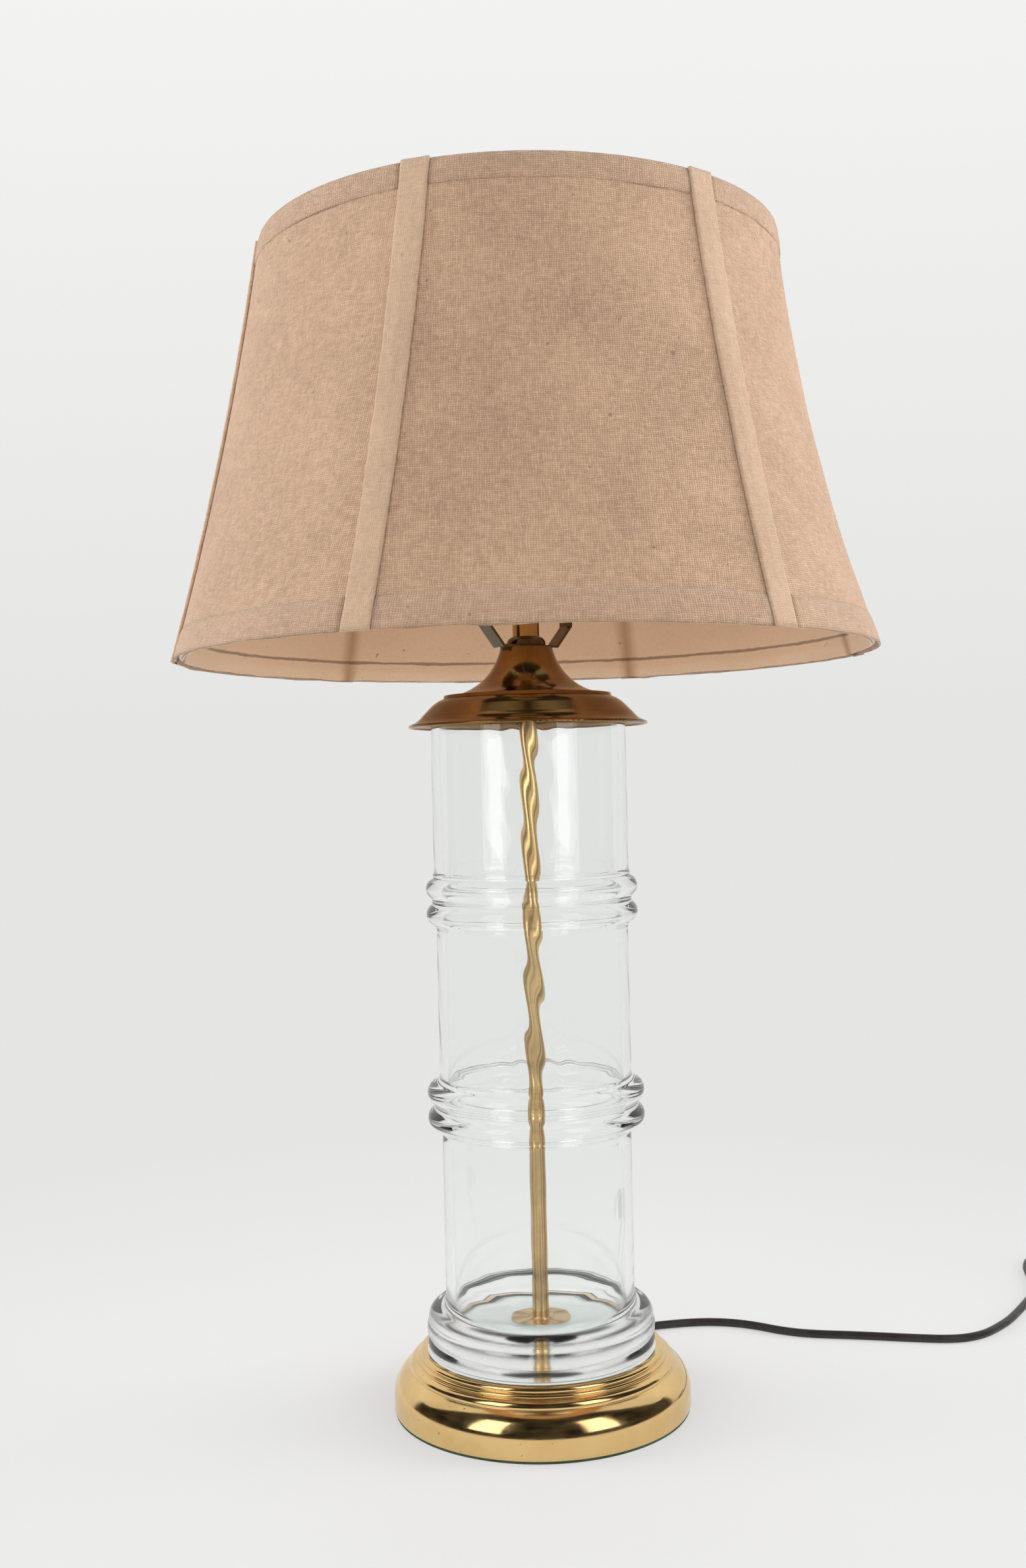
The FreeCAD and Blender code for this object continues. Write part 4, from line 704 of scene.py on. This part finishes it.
def shoulder_point(offset, degrees):
    """A point of the base's round shoulder, so many degrees up, an offset inside the skin."""
    turn = math.radians(degrees)
    reach = SHOULDER_RADIUS - offset
    across = BASE_RADIUS - SHOULDER_RADIUS + reach * math.cos(turn)
    return (across, SIDE_TOP + reach * math.sin(turn))


def softened(places, rounds):
    """The open outline with its corners cut, round after round."""
    for _ in range(rounds):
        cut = [places[0]]
        for (ax, ay), (bx, by) in zip(places, places[1:]):
            cut.append((ax * 0.75 + bx * 0.25, ay * 0.75 + by * 0.25))
            cut.append((ax * 0.25 + bx * 0.75, ay * 0.25 + by * 0.75))
        cut.append(places[-1])
        places = cut
    return places


base_top = softened(
    outline(
        [
            (BASE_RADIUS - 0.0003, BASE_FOOT),
            (BASE_RADIUS, BASE_FOOT + 0.0005),
            shoulder_point(0, 0),
            (shoulder_point(0, SHOULDER_MIDDLE), shoulder_point(0, SHOULDER_END)),
            (0.0780, 0.0253),
            ((0.0770, 0.0284), (0.0741, 0.0296)),
            (0.0735, 0.0299),
            ((0.0732, 0.0316), (0.0721, 0.0320)),
            (0.0716, 0.0322),
            ((0.0712, 0.0344), (0.0693, BASE_SEAT)),
            (0.0560, BASE_SEAT),
        ],
        arc_count=14,
        longest=0.0016,
    ),
    2,
)
base_under = [
    (PIPE_HOLE, BASE_SEAT),
    (PIPE_HOLE, BASE_SEAT - BASE_WALL),
    (0.0668, BASE_SEAT - BASE_WALL),
    shoulder_point(BASE_WALL, SHOULDER_END),
    shoulder_point(BASE_WALL, SHOULDER_MIDDLE),
    shoulder_point(BASE_WALL, 0),
    (BASE_RADIUS - BASE_WALL, BASE_FOOT),
]
base = turned("spun_base", base_top + base_under, 160, GOLD, sharp=50.0)

cutter = bpy.data.objects.new("cord_hole_cutter", bpy.data.meshes.new("cord_hole_cutter"))
hole = bmesh.new()
bmesh.ops.create_cone(
    hole, cap_ends=True, segments=40, radius1=CORD_HOLE, radius2=CORD_HOLE, depth=0.04
)
hole.to_mesh(cutter.data)
hole.free()
cutter.matrix_world = (
    Matrix.Translation(EXIT_WAY * BASE_RADIUS + EXIT_RISE)
    @ EXIT_WAY.to_track_quat("Z", "Y").to_matrix().to_4x4()
)
bpy.context.scene.collection.objects.link(cutter)
cut = base.modifiers.new("cord_hole", "BOOLEAN")
cut.operation = "DIFFERENCE"
cut.object = cutter
cut.solver = "EXACT"
bpy.context.view_layer.update()
shaped = base.evaluated_get(bpy.context.evaluated_depsgraph_get())
cut_mesh = bpy.data.meshes.new_from_object(shaped)
base.modifiers.clear()
base.data = cut_mesh
bpy.data.objects.remove(cutter)
base.data.materials.append(SEAT)
for face in base.data.polygons:
    middle = face.center
    if face.normal.z > 0.99 and math.hypot(middle.x, middle.y) < SEAT_EDGE:
        face.material_index = 1
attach(base, "stand")
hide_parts("base_shell")

# ---------------------------------------------------------------- shade

RIBS = 6
HALF_PANEL = math.pi / RIBS
RIB_TURN = math.radians(-22)
RING_LOW, RING_HIGH = 0.44315, 0.67940
SHADE_LOW, SHADE_HIGH = 0.44045, 0.68105
RADIUS_LOW, RADIUS_HIGH = 0.2007, 0.1490
RIB_SAG, PANEL_SAG = 0.0028, 0.0054
CLOTH_IN, CLOTH_OUT = 0.00165, 0.00285
LINING_OUT, LINING_IN = -0.00165, -0.00235
LINING_INSET = 0.0006
FIRST_SEAM_LEAN, FIRST_SEAM_SWING = -1.9, 4.0
SOFT_STEPS = (-2.4, -1.2, 0, 1.2, 2.4)


def rib_radius(height):
    share = (height - RING_LOW) / (RING_HIGH - RING_LOW)
    return RADIUS_LOW + share * (RADIUS_HIGH - RADIUS_LOW) - RIB_SAG * 4 * share * (1 - share)


def shade_radius(turn, height, offset):
    """The shade's radius in a direction counted from the first rib, moved out by an offset."""
    share = (height - RING_LOW) / (RING_HIGH - RING_LOW)
    rib = rib_radius(height) + offset
    middle = rib - PANEL_SAG * 4 * share * (1 - share)
    side = turn % (2 * HALF_PANEL) - HALF_PANEL
    back = (rib * rib - middle * middle) / (2 * (rib * math.cos(HALF_PANEL) - middle))
    bow = middle - back
    return back * math.cos(side) + math.sqrt(bow * bow - (back * math.sin(side)) ** 2)


def seam_lean(turn, height):
    """How far the shade's first seam leans out of line, fading out towards its neighbours."""
    near = (turn + math.pi) % (2 * math.pi) - math.pi
    if abs(near) > 2 * HALF_PANEL:
        return 0.0
    share = (height - RING_LOW) / (RING_HIGH - RING_LOW)
    lean = math.radians(FIRST_SEAM_LEAN + FIRST_SEAM_SWING * share)
    return lean * math.cos(near * math.pi / (4 * HALF_PANEL)) ** 2


def shade_point(turn, height, offset):
    radius = shade_radius(turn, height, offset)
    angle = RIB_TURN + turn + seam_lean(turn, height)
    return Vector((radius * math.sin(angle), -radius * math.cos(angle), height))


def unevenness(turn, height, scale, seed):
    """A slow unevenness of hand-stretched cloth, from -1 to 1."""
    lift = height * 22 * scale + seed
    return noise.noise(Vector((math.cos(turn) * 4 * scale, math.sin(turn) * 4 * scale, lift)))


def flat_place(turn, height):
    """Where a point of a panel lies on its flat cloth, in metres."""
    panel = math.floor(turn / (2 * HALF_PANEL) + 1e-6)
    side = turn - (2 * panel + 1) * HALF_PANEL
    slant = math.hypot(1.0, (RADIUS_LOW - RADIUS_HIGH) / (RING_HIGH - RING_LOW))
    return (side * rib_radius(height) + 0.3 * panel, (height - SHADE_LOW) * slant)


def shade_cloth(
    name, inner, outer, low, high, material, columns, rows, wave, seed, soft_seams=False
):
    """A closed six-panel skin with rounded edges. Each panel has its own flat cloth."""
    points, faces, flat = [], [], []
    per_panel = columns + 1
    ring = per_panel * RIBS
    levels = [(low + (high - low) * row / rows, outer) for row in range(rows + 1)]
    levels += [(high - (high - low) * row / rows, inner) for row in range(rows + 1)]
    for place, (height, offset) in enumerate(levels):
        for panel in range(RIBS):
            for column in range(per_panel):
                turn = (panel + column / columns) * 2 * HALF_PANEL
                ease = math.sin(math.pi * column / columns)
                edge = fade(min(height - low, high - height), 0.0, 0.012)
                sway = wave * unevenness(turn, height, 1.0, seed) * ease * edge
                ripple = 0.0012 * unevenness(turn, 0.0, 2.5, seed + 3)
                ripple *= 1 - fade(height - low, 0, 0.02)
                lift = height + ripple
                if soft_seams:
                    near = [
                        shade_radius(turn + math.radians(step), lift, offset)
                        for step in SOFT_STEPS
                    ]
                    sway += sum(near) / len(near) - near[2]
                points.append(shade_point(turn, lift, offset + sway))
                inside_panel = (panel + (0.001 + 0.998 * column / columns)) * 2 * HALF_PANEL
                flat.append(flat_place(inside_panel, height))
    count = len(levels)
    for place in range(count):
        here, there = place * ring, (place + 1) % count * ring
        for index in range(ring):
            after = (index + 1) % ring
            faces.append((here + index, here + after, there + after, there + index))
    return mesh_piece(name, points, faces, material, flat)


cloth = shade_cloth(
    "shade_burlap", CLOTH_IN, CLOTH_OUT, SHADE_LOW, SHADE_HIGH, BURLAP,
    columns=22, rows=44, wave=0.0007, seed=1.0,
)
lining = shade_cloth(
    "shade_inner_cloth", LINING_IN, LINING_OUT, SHADE_LOW + LINING_INSET, SHADE_HIGH - LINING_INSET,
    LINING, columns=24, rows=30, wave=0.0005, seed=9.0, soft_seams=True,
)


def strip(across, along_flat, sections):
    """A closed strip: one section of points at each station along it."""
    points, faces, flat = [], [], []
    count = len(across)
    for station, line in enumerate(sections):
        points += line
        flat += [(place, along_flat[station]) for place in across]
    stations = len(sections)
    for station in range(stations - 1):
        here, there = station * count, (station + 1) * count
        for index in range(count):
            after = (index + 1) % count
            faces.append((here + index, there + index, there + after, here + after))
    faces.append(tuple(range(count)))
    faces.append(tuple(reversed(range((stations - 1) * count, stations * count))))
    return points, faces, flat


def joined_strips(name, parts, material):
    """One piece out of several strips that share nothing."""
    points, faces, flat = [], [], []
    for part_points, part_faces, part_flat in parts:
        start = len(points)
        points += part_points
        faces += [tuple(index + start for index in face) for face in part_faces]
        flat += part_flat
    return mesh_piece(name, points, faces, material, flat)


TRIM_HALF, TRIM_THICK, TRIM_ROWS = 0.00775, 0.0019, 60
LAID_ON, HEM_FOOT = 0.00008, 0.00006
TOP_HEM_WIDE, BOTTOM_HEM_WIDE, HEM_THICK = 0.0140, 0.0170, 0.0008
TRIM_SECTION = [
    (-1.00, 0.35), (-0.985, 0.75), (-0.93, 1.0), (-0.80, 1.06), (-0.55, 0.98), (-0.25, 0.95),
    (0.0, 0.97), (0.25, 0.95), (0.55, 0.98), (0.80, 1.06), (0.93, 1.0), (0.985, 0.75), (1.00, 0.35),
    (0.97, 0.0), (0.5, 0.0), (0.0, 0.0), (-0.5, 0.0), (-0.97, 0.0),
]


def trim_strip(rib):
    """The folded strip over one rib, which reaches a little past both ends of the cloth."""
    turn = rib * 2 * HALF_PANEL
    sections, along = [], []
    low, high = SHADE_LOW - 0.0004, SHADE_HIGH + 0.0006
    for row in range(TRIM_ROWS + 1):
        height = low + (high - low) * row / TRIM_ROWS
        width = TRIM_HALF * (1 + 0.05 * unevenness(rib + 1.0, height, 1.5, 20.0 + rib))
        line = []
        for side, rise in TRIM_SECTION:
            reach = side * width
            offset = CLOTH_OUT + LAID_ON + TRIM_THICK * rise
            place = turn + reach / rib_radius(height)
            if rise > 0.5:
                offset += 0.00012 * unevenness(place * 3, height, 4.0, rib * 5.0)
            line.append(shade_point(place, height, offset))
        sections.append(line)
        along.append(height * 1.02)
    across = [side * TRIM_HALF + 0.05 * rib for side, rise in TRIM_SECTION]
    return strip(across, along, sections)


trims = joined_strips("shade_trims", [trim_strip(rib) for rib in range(RIBS)], TRIM)


def hem_strip(rib, low, high, seed):
    """A hem between two trims. Its section runs up its outer side and down its inner one."""
    start = rib * 2 * HALF_PANEL
    columns, rows = 40, 7
    sections, along = [], []
    for column in range(columns + 1):
        radius = rib_radius((low + high) / 2)
        clear_of = (TRIM_HALF + 0.0002) / radius
        turn = start + clear_of + (2 * HALF_PANEL - 2 * clear_of) * column / columns
        line = []
        for row in range(rows + 1):
            height = low + (high - low) * row / rows
            bulge = 0.20 + 0.80 * math.sin(math.pi * row / rows) ** 0.6
            rough = 0.00015 * unevenness(turn * 4, height, 5.0, seed + rib)
            offset = CLOTH_OUT + LAID_ON + HEM_THICK * bulge + rough
            line.append(shade_point(turn, height, offset))
        for row in range(rows, -1, -1):
            height = low + (high - low) * row / rows
            line.append(shade_point(turn, height, CLOTH_OUT + HEM_FOOT))
        sections.append(line)
        along.append(turn * radius)
    heights = [low + (high - low) * row / rows for row in range(rows + 1)]
    points, faces, flat = strip(heights + heights[::-1], along, sections)
    return points, faces, [(place[1], place[0]) for place in flat]


top_hem = joined_strips(
    "shade_top_hem",
    [hem_strip(rib, SHADE_HIGH - TOP_HEM_WIDE, SHADE_HIGH, 30.0) for rib in range(RIBS)],
    HEM,
)
bottom_hem = joined_strips(
    "shade_bottom_hem",
    [hem_strip(rib, SHADE_LOW, SHADE_LOW + BOTTOM_HEM_WIDE, 50.0) for rib in range(RIBS)],
    HEM,
)

for piece, node, slot in (
    (cloth, "shade_cloth", "burlap"),
    (lining, "shade_lining", "lining_cloth"),
    (trims, "rib_trims", "burlap_trim"),
    (top_hem, "top_hem", "burlap_trim"),
    (bottom_hem, "bottom_hem", "burlap_trim"),
):
    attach(piece, "shade")
    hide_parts(node)

# ---------------------------------------------------------------- room and light


FLOOR_HALF, FLOOR_FRONT, WALL_TOP = 5.0, -4.0, 4.5
BEND_START, BEND_RADIUS, BEND_STEPS = 1.2, 1.0, 12


def backdrop_material():
    """Pale paper: far from the lamp it shows plain to camera, metal and glass, brighter higher up as
    painted light, and near it lit.
    """
    nodes = Nodes("pale_paper")
    place = nodes.place()
    split = nodes.add("SeparateXYZ", {0: place})
    tone = nodes.between(nodes.noise(place, 2.0, 2.0), 0.3, 0.7, 0.985, 1.015)
    grey = nodes.add("CombineXYZ", {0: tone, 1: tone, 2: tone}).outputs[0]
    paper = nodes.blend(1.0, (0.74, 0.74, 0.74), grey, "MULTIPLY")
    lit = nodes.principled({"Base Color": paper, "Roughness": 0.9, "Specular IOR Level": 0.1})
    # The glow grows higher up the wall: a painted lighter top of the backdrop.
    height = nodes.between(split.outputs[2], 0.5, 2.0, 0.785, 0.90)
    plain = nodes.add("Emission", {"Color": (1.0, 1.0, 0.992), "Strength": height}).outputs[0]
    path = nodes.add("LightPath").outputs
    seen = nodes.math("MAXIMUM", path["Is Camera Ray"], path["Is Glossy Ray"])
    seen = nodes.math("MAXIMUM", seen, path["Is Transmission Ray"])
    far = nodes.between(from_axis(nodes, split), 0.15, 0.75, 0.55, 1.0)
    share = nodes.math("MULTIPLY", seen, far)
    return nodes.finish(nodes.add("MixShader", {0: share, 1: lit, 2: plain}).outputs[0])


def floor_sweep():
    """A pale table top that sweeps up behind into a pale wall."""
    profile = [(FLOOR_FRONT, 0.0), (BEND_START, 0.0)]
    for step in range(1, BEND_STEPS + 1):
        turn = math.radians(step * 90 / BEND_STEPS)
        along = BEND_START + BEND_RADIUS * math.sin(turn)
        profile.append((along, BEND_RADIUS - BEND_RADIUS * math.cos(turn)))
    profile.append((BEND_START + BEND_RADIUS, WALL_TOP))
    points, faces = [], []
    for along, up in profile:
        points += [(-FLOOR_HALF, along, up), (FLOOR_HALF, along, up)]
    for step in range(len(profile) - 1):
        first = 2 * step
        faces.append((first, first + 1, first + 3, first + 2))
    sweep = mesh_piece("table_and_wall", points, faces, backdrop_material())


floor_sweep()


def softbox(name, azimuth, distance, low, high, wide, power, in_mirrors=True):
    """A large soft lamp that faces the lamp's column. Azimuth counts from the front towards +X."""
    data = bpy.data.lights.new(name, "AREA")
    data.shape = "RECTANGLE"
    data.size, data.size_y = wide, high - low
    data.energy = power
    light = bpy.data.objects.new(name, data)
    turn = math.radians(azimuth)
    light.location = (distance * math.sin(turn), -distance * math.cos(turn), (low + high) / 2)
    aim = Vector((0, 0, light.location.z)) - light.location
    light.rotation_euler = aim.to_track_quat("-Z", "Y").to_euler()
    light.visible_camera = False
    light.visible_glossy = in_mirrors
    light.visible_transmission = in_mirrors
    bpy.context.scene.collection.objects.link(light)
    return light


softbox("left_box", -44, 1.15, 0.26, 1.45, 0.50, 4.0)
softbox("right_box", 44, 1.15, 0.26, 1.45, 0.50, 4.0)
softbox("front_fill", 0, 2.7, 0.4, 2.2, 2.0, 13, in_mirrors=False)
softbox("left_side", -98, 2.2, 0.2, 2.0, 1.6, 46, in_mirrors=False)
softbox("right_side", 98, 2.2, 0.2, 2.0, 1.6, 56, in_mirrors=False)
top_box = softbox("top_box", 180, 0.3, 2.3, 3.5, 1.6, 16, in_mirrors=False)
top_box.rotation_euler = (0, 0, 0)

DARK_SIDE, DARK_REACH, DARK_HEIGHT = 112, 3.2, 0.1
DARK_FOOT, DARK_TOP, DARK_DROP = -2, 135, 113


def dim_room():
    """The dim room in front of the lamp, part of a dome that only mirrors see."""
    points, faces = [], []
    columns, rows = 36, 14
    for row in range(rows + 1):
        for column in range(columns + 1):
            side = 2 * column / columns - 1
            turn = math.radians(DARK_SIDE * side)
            top = DARK_TOP - DARK_DROP * fade(abs(side), 0.45, 0.95)
            lift = math.radians(DARK_FOOT + (top - DARK_FOOT) * row / rows)
            flat = DARK_REACH * math.cos(lift)
            up = DARK_HEIGHT + DARK_REACH * math.sin(lift)
            points.append((flat * math.sin(turn), -flat * math.cos(turn), up))
    for row in range(rows):
        for column in range(columns):
            first = row * (columns + 1) + column
            faces.append((first, first + 1, first + columns + 2, first + columns + 1))
    nodes = Nodes("dim_paint")
    patches = nodes.noise(nodes.place(), 1.1, 3.0)
    glow = nodes.between(patches, 0.35, 0.65, 0.012, 0.075)
    paint_shader = nodes.add("Emission", {"Color": (1.0, 0.95, 0.88), "Strength": glow}).outputs[0]
    room = mesh_piece("dim_room", points, faces, nodes.finish(paint_shader))
    room.visible_camera = False
    room.visible_transmission = False
    room.visible_diffuse = False
    room.visible_shadow = False


dim_room()

world = bpy.data.worlds.new("world")
world.use_nodes = True
world_nodes = world.node_tree
world_nodes.nodes.clear()
world_output = world_nodes.nodes.new("ShaderNodeOutputWorld")
world_mix = world_nodes.nodes.new("ShaderNodeMixShader")
path = world_nodes.nodes.new("ShaderNodeLightPath")
seen = world_nodes.nodes.new("ShaderNodeBackground")
felt = world_nodes.nodes.new("ShaderNodeBackground")
WORLD_SEEN, WORLD_FELT = 0.80, 0.30
seen.inputs[0].default_value = (WORLD_SEEN, WORLD_SEEN, WORLD_SEEN, 1)
seen.inputs[1].default_value = 1.0
felt.inputs[0].default_value = (1, 1, 1, 1)
felt.inputs[1].default_value = WORLD_FELT
world_nodes.links.new(path.outputs["Is Diffuse Ray"], world_mix.inputs[0])
world_nodes.links.new(seen.outputs[0], world_mix.inputs[1])
world_nodes.links.new(felt.outputs[0], world_mix.inputs[2])
world_nodes.links.new(world_mix.outputs[0], world_output.inputs["Surface"])
bpy.context.scene.world = world
bpy.context.scene.view_settings.view_transform = "Standard"

# ---------------------------------------------------------------- end

bpy.context.view_layer.update()
